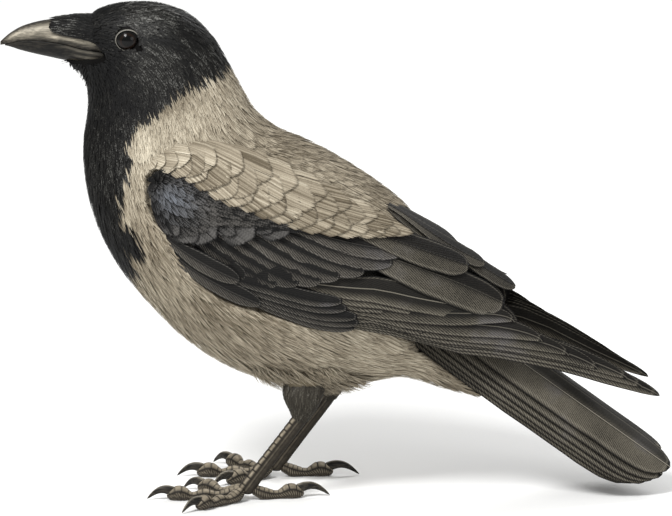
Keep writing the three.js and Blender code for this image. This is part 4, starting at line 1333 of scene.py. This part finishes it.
def vanes(place, lines, rng, *, width, root_lift, tip_lift, tilt=0.0, lead=1.0, trail=1.0,
          blunt=0.8, thick=0.45, camber=0.25, belly=0.5, base=0.42, steps=(0.5, 0.02),
          shaded_cover=0.0, bright=0.0, low=1):
    """Long feathers; lines gives surface places (count, stops, 2) from root to tip.

    place(a, b) is the form they lie on, in (a, b); lifts are along its normal.
    The share of each that is covered, from its upper edge, gets painted shade; bright is its
    lightness; low is the side that is the lower one."""
    count, stops = lines.shape[:2]
    width, root_lift, tip_lift, tilt, lead, trail, blunt = (
        np.broadcast_to(v, count).astype(float)[:, None]
        for v in (width, root_lift, tip_lift, tilt, lead, trail, blunt))
    a, b = lines[..., 0], lines[..., 1]
    here, along_a, along_b, normal = tangents(place, a, b, *steps)
    ahead = unit(np.gradient(here, axis=1))
    across = unit(np.cross(normal, ahead))
    da, db = solve(across, along_a, along_b)
    t = VANE_STOPS[None]
    shape = vane_outline(t, blunt, belly, base)
    lane = VANE_LANES[None, None]
    half = np.where(lane < 0, lead[..., None], trail[..., None]) * width[..., None] / 2
    ragged = 1 + rng.normal(0, 0.012, (count, stops, 1)) * (np.abs(lane) > 0.9)
    sideways = half * lane * shape[..., None] * ragged
    lift = mix(root_lift, tip_lift, t)[..., None] + tilt[..., None] * lane * shape[..., None]
    lift = lift - camber * lane ** 2 + 0.22 * (lane == 0) * (1 - 0.7 * t[..., None])
    lift = lift + rng.normal(0, 0.05, (count, stops, 1))
    top = place(a[..., None] + da[..., None] * sideways, b[..., None] + db[..., None] * sideways) \
        + normal[:, :, None] * lift[..., None]
    under = (here + normal * (mix(root_lift, tip_lift, t) - thick)[..., None])[:, :, None]
    points = np.concatenate([top, under], 2)
    around = points.shape[2]
    quads, triangles = tube_faces(stops, around)
    lengths = np.concatenate([np.zeros((count, 1)), np.cumsum(
        np.linalg.norm(np.diff(here, axis=1), axis=-1), 1)], 1)
    uv_side = np.concatenate([sideways, np.zeros((count, stops, 1))], 2) * 0.01 + 0.5
    uv_along = np.broadcast_to(lengths[..., None] * 0.01, uv_side.shape)
    edge = np.abs(np.concatenate([np.broadcast_to(lane, sideways.shape),
                                  np.zeros((count, stops, 1))], 2))
    signed = np.concatenate([np.broadcast_to(lane * low, sideways.shape),
                             np.zeros((count, stops, 1))], 2)
    edge = np.maximum(edge, ease(0.93, 1.0, t)[..., None])
    shade = np.broadcast_to(rng.random(count)[:, None, None], edge.shape)
    along = np.broadcast_to(t[..., None], edge.shape)
    shaded_cover, bright = (np.broadcast_to(np.reshape(v, (-1, 1, 1)), edge.shape)
                     for v in (shaded_cover, bright))
    border = np.zeros((stops, around), bool)
    border[:, [0, around - 2]] = True
    border[[0, -1]] = True
    unit_points = stops * around
    return {
        "points": points.reshape(-1, 3),
        "quads": repeat_faces(quads, count, unit_points)[:, ::-1],
        "triangles": repeat_faces(triangles, count, unit_points)[:, ::-1],
        "sharp": np.tile(border.ravel(), count),
        "vane": np.stack([uv_side, uv_along], -1).reshape(-1, 2),
        "plume": np.stack([shade, along, edge], -1).reshape(-1, 3),
        "tint": np.stack([shaded_cover, bright, signed], -1).reshape(-1, 3),
    }


def vane_piece(name, parts, finish, slot, nodes):
    parts = parts if isinstance(parts, list) else [parts]
    whole = joined(parts)
    piece = make_mesh(name, whole["points"], [whole["quads"], whole["triangles"]],
                      whole["sharp"], {"Vane": whole["vane"]},
                      {"plume": whole["plume"], "tint": whole["tint"]})
    return dress(piece, finish, slot, *nodes)


def on_wing(a, b):
    return wing_place(a, np.clip(b, -1.5, 1.5))


def wing_lines(roots, tips, bow=0.0):
    """Lines on the wing between (x, z) roots and tips, raised in the middle by bow."""
    roots, tips = np.asarray(roots, float), np.asarray(tips, float)
    t = VANE_STOPS[None]
    x = mix(roots[:, :1], tips[:, :1], t)
    z = mix(roots[:, 1:], tips[:, 1:], t) + 4 * np.reshape(bow, (-1, 1)) * t * (1 - t)
    return np.stack([x, wing_turn(x, z)], -1)


def lay_wing(side, part):
    part["points"] = settle(part["points"], side)
    if side == LEFT:
        part["quads"] = part["quads"][:, ::-1]
        part["triangles"] = part["triangles"][:, ::-1]
    return part


BROAD_RINGS = np.array([0.0, 0.4, 0.72, 0.965])


def wing_tuft(side, roots, tips, rng, black, **shape):
    """Soft feathers of fine strands on the folded wing, between (x, z) places."""
    roots, tips = np.asarray(roots, float), np.asarray(tips, float)
    roots[:, 1] = np.minimum(roots[:, 1], WING_TOP(roots[:, 0]) - 2)
    run = tips - roots
    turn = wing_turn(roots[:, 0], roots[:, 1])
    part = feathers(on_wing, roots[:, 0], turn, rng, seen=unit(run),
                    length=np.linalg.norm(run, axis=1), steps=(0.5, 0.02),
                    patch=((roots[:, 0] + 125) / 330, 0.5 + turn / 3.4), **shape)
    # grey tufts take the soft plumage's tone with painted light and shade
    tone_and_painted_light = painted_light_and_tone(tips[:, 0], tips[:, 1]) if not black else 0.5 + 0 * turn
    values = np.stack(np.broadcast_arrays(float(black), tone_and_painted_light, 0.0), -1)
    part["tint"] = np.repeat(values, part["per_feather"], 0)
    return lay_wing(side, part)


SCAPULAR_TIPS = np.array([[-107.5, 207], [-101, 210], [-94, 209], [-86, 205.5], [-77, 203],
                          [-68.7, 198.8], [-59, 194.0], [-49.5, 190.5], [-40, 187.5],
                          [-29.6, 184], [-20, 181], [-10.5, 177.8], [-0.5, 175], [9.5, 172.6],
                          [20, 170.4], [30, 168.6], [39, 167.4], [46.5, 166.4]])
SCAPULAR_FALL = curve([[-103, 20], [-80, 38], [-60, 40], [-30, 34], [0, 26], [46, 20]])
SCAPULAR_LENGTH = curve([[-103, 14], [-80, 24], [-55, 34], [-20, 42], [46, 52]])
SCAPULAR_HALF = curve([[-108, 3.4], [-100, 5], [-80, 8], [-50, 10.6], [0, 10.4], [30, 8],
                       [46, 5.6]])


def scapular_tufts(side, rng):
    """Broad grey shoulder feathers whose rounded tips make the tract's lower edge."""
    edge = SCAPULAR_TIPS
    # each row's painted-shade outline strength, highest on the edge row
    tips, falls, rises, outline_shade_strength = [edge], [SCAPULAR_FALL(edge[:, 0])], [
        np.full(len(edge), 0.36)], [np.full(len(edge), 0.5)]
    for row, share in enumerate((0.34, 0.74)):
        x = np.arange(-94 + 8 * (row % 2), 38 - 10 * share, 16.0)
        x = x + rng.normal(0, 0.8, len(x))
        z = mix(SCAPULAR_EDGE(x) + 5, SCAPULAR_TOP(x) + 1, share)
        tips.append(np.stack([x, z], -1))
        falls.append(SCAPULAR_FALL(x) * (1 - 0.4 * share))
        rises.append(np.full(len(x), 0.6 + 0.5 * share))
        outline_shade_strength.append(np.full(len(x), 0.3 - 0.14 * share))
    tips, falls, rises, outline_shade_strength = (np.concatenate(v) for v in (tips, falls, rises, outline_shade_strength))
    falls = np.radians(falls)
    length = SCAPULAR_LENGTH(tips[:, 0])
    roots = tips + np.stack([-np.cos(falls) * length, np.sin(falls) * length], -1)
    roots[:, 0] = np.maximum(roots[:, 0], -112.5)
    roots[:, 1] = np.minimum(roots[:, 1], np.minimum(SCAPULAR_TOP(roots[:, 0]) + 7,
                                                     WING_TOP(roots[:, 0]) - 4))
    made = wing_tuft(side, roots, tips, rng, 0, half=SCAPULAR_HALF(tips[:, 0]),
                     strands=17, point=0.2, sink=rises - 2.8, rise=rises, thick=0.12,
                     loose=0.006, uneven=0.01, round_off=0.55, taper=0.15, rings=BROAD_RINGS)
    tone_and_painted_light = painted_light_and_tone(tips[:, 0], tips[:, 1]) + 0.02 - 0.14 * ease(-60, 0, tips[:, 0])
    return made, tone_and_painted_light, outline_shade_strength


LESSER_LOW = curve([[-110, 190], [-107, 181], [-101, 174], [-96, 168], [-90, 167], [-84, 168],
                    [-76, 171], [-66, 176], [-50, 176.5], [-30, 176], [-6, 175]])
LESSER_FALL = curve([[-111, 80], [-102, 60], [-85, 38], [-65, 26], [-40, 15], [0, 8]])


def lesser_tufts(side, rng):
    """Narrow feathers that sweep round the wrist and back along the shoulder."""
    tips, layer = [], []
    for row, share in enumerate(np.linspace(0, 1, 7)):
        x = np.concatenate([np.arange(-110, -84, 4.4), np.arange(-83, 0, 7.4)])
        x = x + (2.4 if row % 2 else 0)
        low, high = LESSER_LOW(x), SCAPULAR_EDGE(x) + 1
        keep = (high - low > 15) | (row % 3 == 0)
        x, z = x[keep], mix(low, high, share)[keep]
        tips.append(np.stack([x + rng.normal(0, 0.5, len(x)), z], -1))
        layer.append(np.full(len(x), share))
    tips, layer = np.concatenate(tips), np.concatenate(layer)
    fall = np.radians(LESSER_FALL(tips[:, 0]))
    length = mix(12, 27, ease(-112, -55, tips[:, 0])) * rng.uniform(0.92, 1.08, len(tips))
    roots = tips + np.stack([-np.cos(fall) * length, np.sin(fall) * length], -1)
    roots[:, 0] = np.maximum(roots[:, 0], -110.5)
    roots[:, 1] = np.minimum(roots[:, 1], SCAPULAR_EDGE(roots[:, 0]) - 2.5
                             + 20 * ease(-96, -76, roots[:, 0]))
    # painted blue sheen in a patch near the wrist
    blue = 0.6 * np.exp(-((tips[:, 0] + 94) / 15) ** 2 - ((tips[:, 1] - 186) / 12) ** 2) + 0.06
    # tone: lifted by the painted sheen, darker at the front and low in front, and painted shade
    # just beneath the scapulars' edge
    tone_and_painted_light = 0.24 + 0.3 * blue - 0.2 * ease(-100, -110, tips[:, 0]) \
        - 0.3 * ease(182, 168, tips[:, 1]) * ease(-78, -92, tips[:, 0]) \
        - 0.2 * ease(-9, -2, tips[:, 1] - SCAPULAR_EDGE(tips[:, 0]))
    return wing_tuft(side, roots, tips, rng, 1, half=mix(2.7, 5.6, ease(-100, -70,
                     tips[:, 0])), strands=8, point=0.35, sink=-3.2 + 0.6 * layer,
                     rise=-1.1 + 0.6 * layer, thick=0.12,
                     loose=0.03, uneven=0.03, round_off=0.3, taper=0.35), tone_and_painted_light, blue


MEDIAN_TIPS = np.array([[-93, 168.5], [-82, 165.5], [-71, 167.5], [-59, 169.5], [-48, 168.5],
                        [-37, 171.5], [-27, 171], [-15, 174], [-3, 174], [9, 173.5]])
MEDIAN_HALF = np.array([7, 9, 11, 6, 11.5, 6, 9.5, 6.5, 6, 6])


def median_tufts(side, rng):
    """One row of broad rounded coverts below the narrow ones."""
    fall = np.radians(np.interp(MEDIAN_TIPS[:, 0], [-96, -50, 0], [45, 33, 18]))
    length = 26.0
    roots = MEDIAN_TIPS + np.stack([-np.cos(fall) * length, np.sin(fall) * length], -1)
    roots[:, 0] = np.maximum(roots[:, 0], -110)
    wide = MEDIAN_HALF > 6.6
    made = wing_tuft(side, roots, MEDIAN_TIPS, rng, 1, half=MEDIAN_HALF, strands=17,
                     point=0.3, sink=-4.6, rise=-1.6 + 0.5 * wide, thick=0.12,
                     loose=0.012, uneven=0.02, round_off=0.5, taper=0.12, rings=BROAD_RINGS)
    # broad coverts lighter, all with a faint painted blue sheen
    return made, np.where(wide, 0.36, 0.16), 0.12 + 0 * fall


GREATER = np.array([  # root x, z, tip x, z
    [-30, 178, 42.9, 158.2], [-39, 176, 34.5, 152.1], [-48, 174, 17.6, 147.6],
    [-58, 172.5, 2.6, 144.7], [-69, 171, -8.5, 142.2], [-79, 170.5, -22.1, 140.5],
    [-88, 170, -35.1, 139.5], [-94, 169, -45.5, 140], [-99, 168, -54, 143]])


def greater_vanes(rng):
    """Long coverts of the secondaries, the innermost outermost."""
    order = np.arange(len(GREATER))
    return vanes(on_wing, wing_lines(GREATER[:, :2], GREATER[:, 2:], -2.5), rng, width=15.5,
                 root_lift=-4.6 - 0.16 * order, tip_lift=-2.0 - 0.16 * order, tilt=0.45,
                 blunt=0.74, belly=0.6, shaded_cover=0.42, bright=0.02 - 0.01 * order)


def alula_vanes(rng):
    return vanes(on_wing, wing_lines([[-102, 166], [-101, 158]], [[-57.5, 141.6], [-44.9, 126.5]],
                                     [-2.0, -3.0]), rng,
                 width=[12, 12.5], root_lift=[-2.4, -3.0], tip_lift=[-1.7, -2.3], tilt=0.35,
                 blunt=0.74, shaded_cover=0.3, bright=0.02)


def edge_lines(start, tips, above_start, ease_power=1.0):
    """Lines that follow the wing's lower edge at a height that settles to each tip."""
    t = VANE_STOPS[None]
    xs = mix(np.reshape(start, (-1, 1)), tips[:, :1], t)
    settled = (tips[:, 1] - WING_EDGE(tips[:, 0]))[:, None]
    above = mix(np.reshape(above_start, (-1, 1)), settled, t ** ease_power)
    return np.stack([xs, wing_turn(xs, WING_EDGE(xs) + above)], -1)


def hand_covert_vanes(rng):
    tips = np.array([[4, 129.5], [7, 125], [13, 119.5], [14, 115.5], [11, 112]])
    order = np.arange(5)
    return vanes(on_wing, edge_lines(np.linspace(-84, -72, 5), tips, [13, 10, 7.5, 5.5, 3.5]),
                 rng, width=9.5, root_lift=-3.6 - 0.4 * order, tip_lift=-2.3 - 0.4 * order,
                 tilt=0.4, blunt=0.8, shaded_cover=0.6, bright=-0.02)


def secondary_vanes(rng):
    """Secondaries show as a stack of lower edges below the long coverts."""
    tips = np.array([[97.2, 120], [92, 119], [85, 118], [77.5, 116.8], [69.7, 115], [60.5, 113.4]])
    order = np.arange(6)
    return vanes(on_wing, edge_lines(np.linspace(-30, -58, 6), tips,
                                     [27, 23.5, 20, 17, 14, 11], 1.2), rng, width=17,
                 root_lift=-5.4 - 0.5 * order, tip_lift=-2.2 - 0.45 * order, tilt=0.55,
                 blunt=0.86, shaded_cover=0.72, bright=0.06)


def tertial_vanes(rng):
    """Inner feathers, from the back edge of the wing down; the upper ones lie on top."""
    t = VANE_STOPS
    upper = []
    # three deep feathers line the inside of the wing
    for share, end in ((0.3, 104), (0.55, 112), (0.8, 104)):
        x = mix(-20, end, t)
        z = mix(WING_TOP(x) - 3, WING_EDGE(x) + 3, share)
        upper.append(np.stack([x, wing_turn(x, z)], -1))
    for start, end, low in ((18, 76, 1.5), (34, 90, 4.2), (46, 109, 3.2)):
        x = mix(start, end, t)
        z = WING_TOP(x) - low - 2.4 * ease(0, 0.6, t) + 2.6 * t ** 6
        upper.append(np.stack([x, wing_turn(x, z)], -1))
    lines = np.concatenate([upper, wing_lines([[-4, 180], [-8, 168]],
                                              [[80, 145], [101.4, 122]], [1.0, 4.5])])
    return vanes(on_wing, lines, rng, width=[30, 30, 26, 24, 15, 15, 22, 25],
                 lead=[1] * 6 + [0.9, 0.8], trail=[1] * 5 + [1.1, 1, 1.15],
                 root_lift=[-11, -11, -11, -7, -5.0, -5.4, -3.2, -4.2],
                 tip_lift=[-6.5, -7.5, -7.5, -4.6, -1.4, -2.2, -0.9, -1.6],
                 tilt=[0, 0, 0, 0.1, 0.1, 0.1, 0.3, 0.35], blunt=0.84, belly=0.7,
                 shaded_cover=[0.4] * 4 + [0.25] * 4,
                 bright=[-0.14] * 4 + [-0.06, -0.06, -0.02, 0.02])


PRIMARY_TIPS = np.array([[107, 111], [124, 98], [140, 88.5], [158, 79], [176, 72.5],
                         [185, 67], [195.5, 61]])


def primary_vanes(rng):
    n = len(PRIMARY_TIPS)
    order = np.arange(n)
    t = VANE_STOPS[None]
    xs = mix(np.linspace(-10, -44, n)[:, None], PRIMARY_TIPS[:, :1], t)
    extra = (PRIMARY_TIPS[:, 1] - WING_EDGE(PRIMARY_TIPS[:, 0]) - 0.5)[:, None]
    above = 7.2 * vane_outline(t, 0.72) + mix((8.5 - 1.3 * order)[:, None], extra, t ** 1.5)
    lines = np.stack([xs, wing_turn(xs, WING_EDGE(xs) + above)], -1)
    return vanes(on_wing, lines, rng, width=15, root_lift=-6.0 - 0.4 * order,
                 tip_lift=-1.0 - 0.4 * order, tilt=0.5, blunt=0.72, shaded_cover=0.6, bright=0.04)


def build_wings():
    soft = (("scapular_feathers", scapular_tufts, "grey_plumage", "scapulars"),
            ("lesser_coverts", lesser_tufts, "flight_feathers", "wing_shoulder"),
            ("median_coverts", median_tufts, "flight_feathers", None))
    long = (
        ("long_coverts", greater_vanes, COVERTS, "wing_coverts"),
        ("alula_feathers", alula_vanes, COVERTS, "alula"),
        ("hand_coverts", hand_covert_vanes, COVERTS, "primary_coverts"),
        ("secondary_feathers", secondary_vanes, FLIGHT, "secondaries"),
        ("tertial_feathers", tertial_vanes, FLIGHT, "tertials"),
        ("primary_feathers", primary_vanes, FLIGHT, "primaries"),
    )
    for side, sign in SIDES.items():
        for number, (name, maker, slot, node) in enumerate(soft):
            rng = np.random.default_rng(SEEDS["wing_tufts"] + number)
            # the makers give tone with painted light, and for the scapulars the strength of a
            # painted-shade outline, for the coverts a painted blue sheen
            made, tone_and_painted_light, third = maker(sign, rng)
            for column, values in ((1, tone_and_painted_light), (2, third)):
                made["tint"][:, column] = np.repeat(values, made["per_feather"])
            piece = feather_piece(f"{name}_{side}", made,
                                  PLUMAGE if slot == "grey_plumage" else COVERLETS, slot)
            if node:
                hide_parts(f"{node}_{side}")
        for number, (name, maker, finish, node) in enumerate(long):
            rng = np.random.default_rng(SEEDS["wing_vanes"] + number)
            part = lay_wing(sign, maker(rng))
            vane_piece(f"{name}_{side}", part, finish, "flight_feathers", [f"{node}_{side}"])


# ------------------------------------------------------------------ tail

TAIL = {"x": 46.1, "z": 134.0, "slope": math.radians(36), "roll": math.radians(15),
        "length": 186.0, "shorter": 3.0, "width": 25.0, "spread": math.radians(0.5),
        "pitch": 2.5, "step": 1.6, "camber": 0.0135}


def tail_place(forward, leftward, level=0.0):
    """Point of the tail's upper face; leftward is measured toward the bird's left."""
    sideways = -leftward
    droop = -TAIL["camber"] * sideways ** 2 + level
    y = sideways * math.cos(TAIL["roll"]) - droop * math.sin(TAIL["roll"])
    up = sideways * math.sin(TAIL["roll"]) + droop * math.cos(TAIL["roll"])
    return np.stack([
        TAIL["x"] + forward * math.cos(TAIL["slope"]) + up * math.sin(TAIL["slope"]), y,
        TAIL["z"] - forward * math.sin(TAIL["slope"]) + up * math.cos(TAIL["slope"])], -1)


def build_tail():
    """Twelve feathers, the middle pair outermost, each lying over the next.

    The tail leans to the right, so its left feathers show as a wide upper one and the
    edges of five more."""
    rng = np.random.default_rng(SEEDS["tail"])
    parts = []
    left = {"centre": [11.0, 17.4, 20.2, 22.3, 23.6, 24.8], "width": [33, 28, 27, 26, 25, 24],
            "length": [195, 193, 190, 187, 183, 179]}
    for side in (LEFT, RIGHT):
        for pair in range(6):
            near = side == LEFT
            length = left["length"][pair] if near else TAIL["length"] - TAIL["shorter"] * pair
            forward = length * VANE_STOPS[None]
            centre = left["centre"][pair] + 0 * forward if near else -(
                TAIL["pitch"] * (pair + 0.5) + forward * math.tan(TAIL["spread"] * (pair + 0.5)))
            level = -TAIL["step"] * (pair + (0 if near else 0.5))

            def shelf(forward, leftward, level=level):
                return tail_place(forward, leftward, level)
            part = vanes(shelf, np.stack([forward, centre], -1), rng,
                         width=left["width"][pair] if near else TAIL["width"],
                         root_lift=0, tip_lift=0, tilt=0.0, blunt=0.86 if pair else 0.88,
                         lead=1.0, trail=0.85 if near and pair == 0 else 1.0, thick=0.9,
                         camber=0.1, belly=0.4, base=0.85 if near else 0.6, steps=(0.5, 0.2),
                         shaded_cover=0.7 if pair else 0.08, bright=0.16 if pair == 0 else 0.08,
                         low=-1)
            parts.append(part)
    vane_piece("tail_feathers", parts, FLIGHT, "flight_feathers", ["tail"])


# ------------------------------------------------------------------ legs

TOES = {
    "hind": {"heading": None, "length": 34.5, "claw": 16, "pads": 2, "start": 3},
    "inner": {"heading": -35, "length": 36, "claw": 11, "pads": 2, "start": 4},
    "middle": {"heading": 0, "length": 48, "claw": 12, "pads": 3, "start": 3.5},
    "outer": {"heading": 41, "length": 39.5, "claw": 11.5, "pads": 3, "start": 4},
}


def path_lengths(points):
    """Distance from the start of a path to each of its points."""
    return np.concatenate([[0], np.cumsum(np.linalg.norm(np.diff(points, axis=0), axis=1))])


def swept(centres, width, depth_up, depth_down, relief, marks, around=28):
    """Closed limb round a path, with relief and marks given for (distance, turn)."""
    along = unit(np.gradient(centres, axis=0))
    side = unit(np.cross(np.array([0, 0, 1.0]), along))
    up = np.cross(along, side)
    turn = np.linspace(0, 2 * math.pi, around + 1)[:-1]
    dd, tt = np.meshgrid(path_lengths(centres), turn, indexing="ij")
    bulge = relief(dd, tt)
    sideways = (width[:, None] + bulge) * np.sin(tt)
    tall = np.where(np.cos(tt) > 0, depth_up[:, None], depth_down[:, None])
    upward = (tall + bulge) * np.cos(tt)
    points = (centres[:, None] + side[:, None] * sideways[..., None]
              + up[:, None] * upward[..., None])
    scale_highlight, groove = marks(dd, tt)
    quads, triangles = tube_faces(len(centres), around)
    fields = np.stack([scale_highlight, groove, 0 * scale_highlight], -1).reshape(-1, 3)
    return points.reshape(-1, 3), np.array(quads), np.array(triangles), fields


def scutes(pitch, half_turn, height, lines=(), middle=0.0, broad=0.5, pebbles=0.0):
    """Relief of one row of plates along the upper side and of pebbled skin beneath, and marks: pale
    painted highlights on the plates, on fine side lines and on the pebbles, and dark lines between
    and beside the plates."""
    def cell(dd):
        part = (dd / pitch) % 1.0
        return part, np.clip(np.minimum(part, 1 - part) / 0.12, 0, 1)

    def pebble(dd, tt):
        away = np.minimum(tt, 2 * math.pi - tt)
        return ease(half_turn, half_turn + 0.3, away) * np.clip(
            np.sin(dd * 4.4 + 3 * np.sin(tt * 2)) * np.sin(tt * 11), 0, 1)

    def relief(dd, tt):
        away = np.minimum(tt, 2 * math.pi - tt)
        top = ease(half_turn + 0.15, half_turn - 0.1, away)
        part, plate = cell(dd)
        plates = height * top * plate * (0.55 + 0.45 * part)
        return plates + (0.16 + 0.2 * pebbles) * pebble(dd, tt)

    def marks(dd, tt):
        away = np.minimum(tt, 2 * math.pi - tt)
        top = ease(half_turn + 0.12, half_turn - 0.16, away)
        _, plate = cell(dd)
        edge = np.exp(-((away - half_turn) / 0.09) ** 2)
        # painted highlight: pale centres on the plates, pale side lines and pale pebbles
        painted_highlight = top * plate * np.exp(-((away - middle) / broad) ** 2)
        for line in lines:
            painted_highlight = np.maximum(painted_highlight, 0.55 * np.exp(-((away - line) / 0.06) ** 2))
        painted_highlight = np.maximum(painted_highlight, pebbles * pebble(dd, tt))
        return painted_highlight, np.maximum(top * (1 - plate), edge * 0.9)
    return relief, marks


def resample(points, count):
    points = np.asarray(points, float)
    at = path_lengths(points)
    want = np.linspace(0, at[-1], count)
    return np.stack([curve(list(zip(at, points[:, k])))(want) for k in range(3)], -1), want


SHANK = np.array([  # share of the way up, depth, width
    [-0.09, 6.6, 6.4], [0.0, 8.6, 7.6], [0.16, 8.3, 5.8], [0.5, 8.0, 5.2], [0.88, 8.0, 5.7],
    [1.0, 7.6, 6.6], [1.09, 4.6, 4.4]])


def shank(foot_x, foot_y):
    """The bare leg from ankle to foot, its front plates facing forward."""
    share = np.linspace(1.09, -0.09, 120)
    deep = curve(SHANK[:, :2])(share) / 2
    wide = curve(SHANK[:, [0, 2]])(share) / 2
    ends = np.sqrt(np.clip(np.minimum(1.09 - share, share + 0.09) / 0.05, 0.04, 1))
    centres = np.stack([foot_x + TARSUS_RUN * share, foot_y + 0 * share,
                        ANKLE_Z + TARSUS_RISE * share], -1)
    # painted highlights: wide on the front plates, and two thin pale side lines
    relief, marks = scutes(5.2, 1.25, 0.38, lines=(1.62, 2.05), middle=0.82, broad=0.24)
    along = unit(np.gradient(centres, axis=0))
    across = np.array([0, 1.0, 0])
    front = np.cross(across, along)
    if front[0, 0] > 0:
        front = -front
    around = 32
    turn = np.linspace(0, 2 * math.pi, around + 1)[:-1]
    dd, tt = np.meshgrid(path_lengths(centres), turn, indexing="ij")
    bulge = relief(dd, tt)
    heel = 1 + 0.12 * (np.cos(tt) < -0.5)
    points = (centres[:, None]
              + front[:, None] * ((deep * ends)[:, None] * heel + bulge)[..., None]
              * np.cos(tt)[..., None]
              + across * ((wide * ends)[:, None] + bulge)[..., None] * np.sin(tt)[..., None])
    scale_highlight, groove = marks(dd, tt)
    quads, triangles = tube_faces(len(centres), around)
    return (points.reshape(-1, 3), np.array(quads), np.array(triangles),
            np.stack([scale_highlight, groove, 0 * scale_highlight], -1).reshape(-1, 3))


def toe_form(toe, base, ahead):
    """A toe with its pads on the floor."""
    joints = 2 * toe["pads"]
    path, radii = [], []
    for i in range(joints + 1):
        t = i / joints
        pad = 0.7 if i % 2 else -0.3
        tip = 1.3 if i == joints - 1 else 0
        radius = mix(3.3, 2.7, t) + pad + tip
        height = 7.0 if i == 0 else radius * math.cos(math.pi / 6)
        path.append(base + ahead * mix(toe["start"], toe["length"], t)
                    + np.array([0, 0, height]))
        radii.append(radius)
    centres, at = resample(path, 76)
    radius = curve(list(zip(path_lengths(path), radii)))(at)
    close = np.sqrt(np.clip(np.minimum(at + 0.6, at[-1] - at + 0.25) / 2.2, 0.02, 1))
    width = radius * close
    floor = centres[:, 2] - 0.05
    down = np.minimum(width * 0.98, np.maximum(floor, 0.3))
    # painted highlights on the toe plates and on the pebbled skin beneath
    relief, marks = scutes(3.4, 1.15, 0.35, middle=0.4, broad=0.55, pebbles=0.9)
    return swept(centres, width, width * 0.92, down, relief, marks)


def claw_form(toe, base, ahead):
    """A hooked claw that thins to its tip, with a painted highlight along the top."""
    t = np.linspace(0, 1, 40)
    reach = toe["length"] - 3 + (toe["claw"] + 3) * t
    centres = base + ahead * reach[:, None]
    centres[:, 2] = mix(5.4, 0.7, t ** 1.7) + toe["claw"] * 0.17 * np.sin(math.pi * t)
    radius = mix(2.9, 0.4, t ** 1.5)
    thin = np.sqrt(np.clip((1 - t + 0.01) / 0.08, 0.05, 1))

    def smooth(dd, tt):
        return 0 * dd

    # painted highlight along the claw's top
    def painted_highlight(dd, tt):
        return 0.45 * ease(0.7, 1, np.cos(tt)) + 0 * dd, 0 * dd
    return swept(centres, radius * 0.78 * thin, radius * 1.05 * thin, radius * thin,
                 smooth, painted_highlight)


def build_leg(side):
    foot_x, foot_y, hind_heading = FEET[side]
    base = np.array([foot_x, foot_y, 0.0])
    pieces, claws = [shank(foot_x, foot_y)], []
    for toe in TOES.values():
        angle = math.radians(hind_heading if toe["heading"] is None else toe["heading"])
        ahead = np.array([-math.cos(angle), SIDES[side] * math.sin(angle), 0])
        pieces.append(toe_form(toe, base, ahead))
        claws.append(claw_form(toe, base, ahead))
    toes = [f"toe_{toe}_{side}" for toe in TOES]
    limb_piece(f"leg_{side}", pieces, SCUTES, "leg_scales", [f"tarsus_{side}", *toes])
    limb_piece(f"claws_{side}", claws, HORN, "claw", [f"claw_{toe}_{side}" for toe in TOES])


def limb_piece(name, parts, finish, slot, nodes):
    whole = joined([{"points": points, "quads": outward_faces(points, quads, quads),
                     "triangles": outward_faces(points, quads, triangles), "tint": tint}
                    for points, quads, triangles, tint in parts])
    piece = make_mesh(name, whole["points"], [whole["quads"], whole["triangles"]],
                      fields={"tint": whole["tint"]})
    dress(piece, finish, slot, *nodes)


def outward_faces(points, quads, faces):
    """Faces turned so that the closed form they belong to has its outside out."""
    a, b, c = points[quads[:, 0]], points[quads[:, 1]], points[quads[:, 2]]
    d = points[quads[:, 3]]
    volume = np.sum(dot(a, np.cross(b, c))) + np.sum(dot(a, np.cross(c, d)))
    return faces if volume > 0 else faces[:, ::-1]


# ------------------------------------------------------------------ stage

def build_stage():
    floor = bpy.data.objects.new("floor", bpy.data.meshes.new("floor"))
    points = [(x, y, 0.0) for x in (-30, 30) for y in (-30, 30)]
    floor.data.from_pydata(points, [], [(0, 2, 3, 1)])
    bpy.context.scene.collection.objects.link(floor)
    kit = Finish("pale_backdrop")
    floor.data.materials.append(kit.surface(Base_Color=(0.9, 0.9, 0.89), Roughness=0.9))
    world = bpy.data.worlds.new("studio")
    bpy.context.scene.world = world
    world.use_nodes = True
    background = world.node_tree.nodes["Background"]
    background.inputs[0].default_value = (1.0, 1.0, 1.0, 1.0)
    background.inputs[1].default_value = 0.5
    for name, place, size, power_w, aim in (
            ("key", (-1.0, -1.3, 2.0), 0.8, 60.0, (-0.02, 0, 0.16)),
            ("fill", (1.6, -1.6, 0.9), 1.4, 10.0, (0, 0, 0.15)),
            ("rim", (0.6, 1.4, 1.7), 1.0, 22.0, (0, 0, 0.18))):
        light = bpy.data.lights.new(name, "AREA")
        light.shape = "DISK"
        light.size = size
        light.energy = power_w
        lamp = bpy.data.objects.new(name, light)
        lamp.location = place
        lamp.rotation_euler = (Vector(aim) - Vector(place)).to_track_quat("-Z", "Y").to_euler()
        bpy.context.scene.collection.objects.link(lamp)


def build_camera():
    elevation, distance, field = math.radians(13), 5.0, 0.4032
    aim = Vector((0, 0, 0.1426))
    data = bpy.data.cameras.new("camera")
    data.lens = 36.0 * distance / field
    data.sensor_width = 36.0
    data.clip_end = 20.0
    camera = bpy.data.objects.new("camera", data)
    camera.location = aim + distance * Vector((0, -math.cos(elevation), math.sin(elevation)))
    camera.rotation_euler = (aim - camera.location).to_track_quat("-Z", "Y").to_euler()
    bpy.context.scene.collection.objects.link(camera)
    bpy.context.scene.camera = camera


build_camera()
build_stage()
bpy.context.scene.view_settings.view_transform = "Standard"
build_skin()
dress_body()
dress_thighs()
dress_fringe()
dress_face()
build_bill()
build_eyes()
build_wings()
build_tail()
for leg in FEET:
    build_leg(leg)
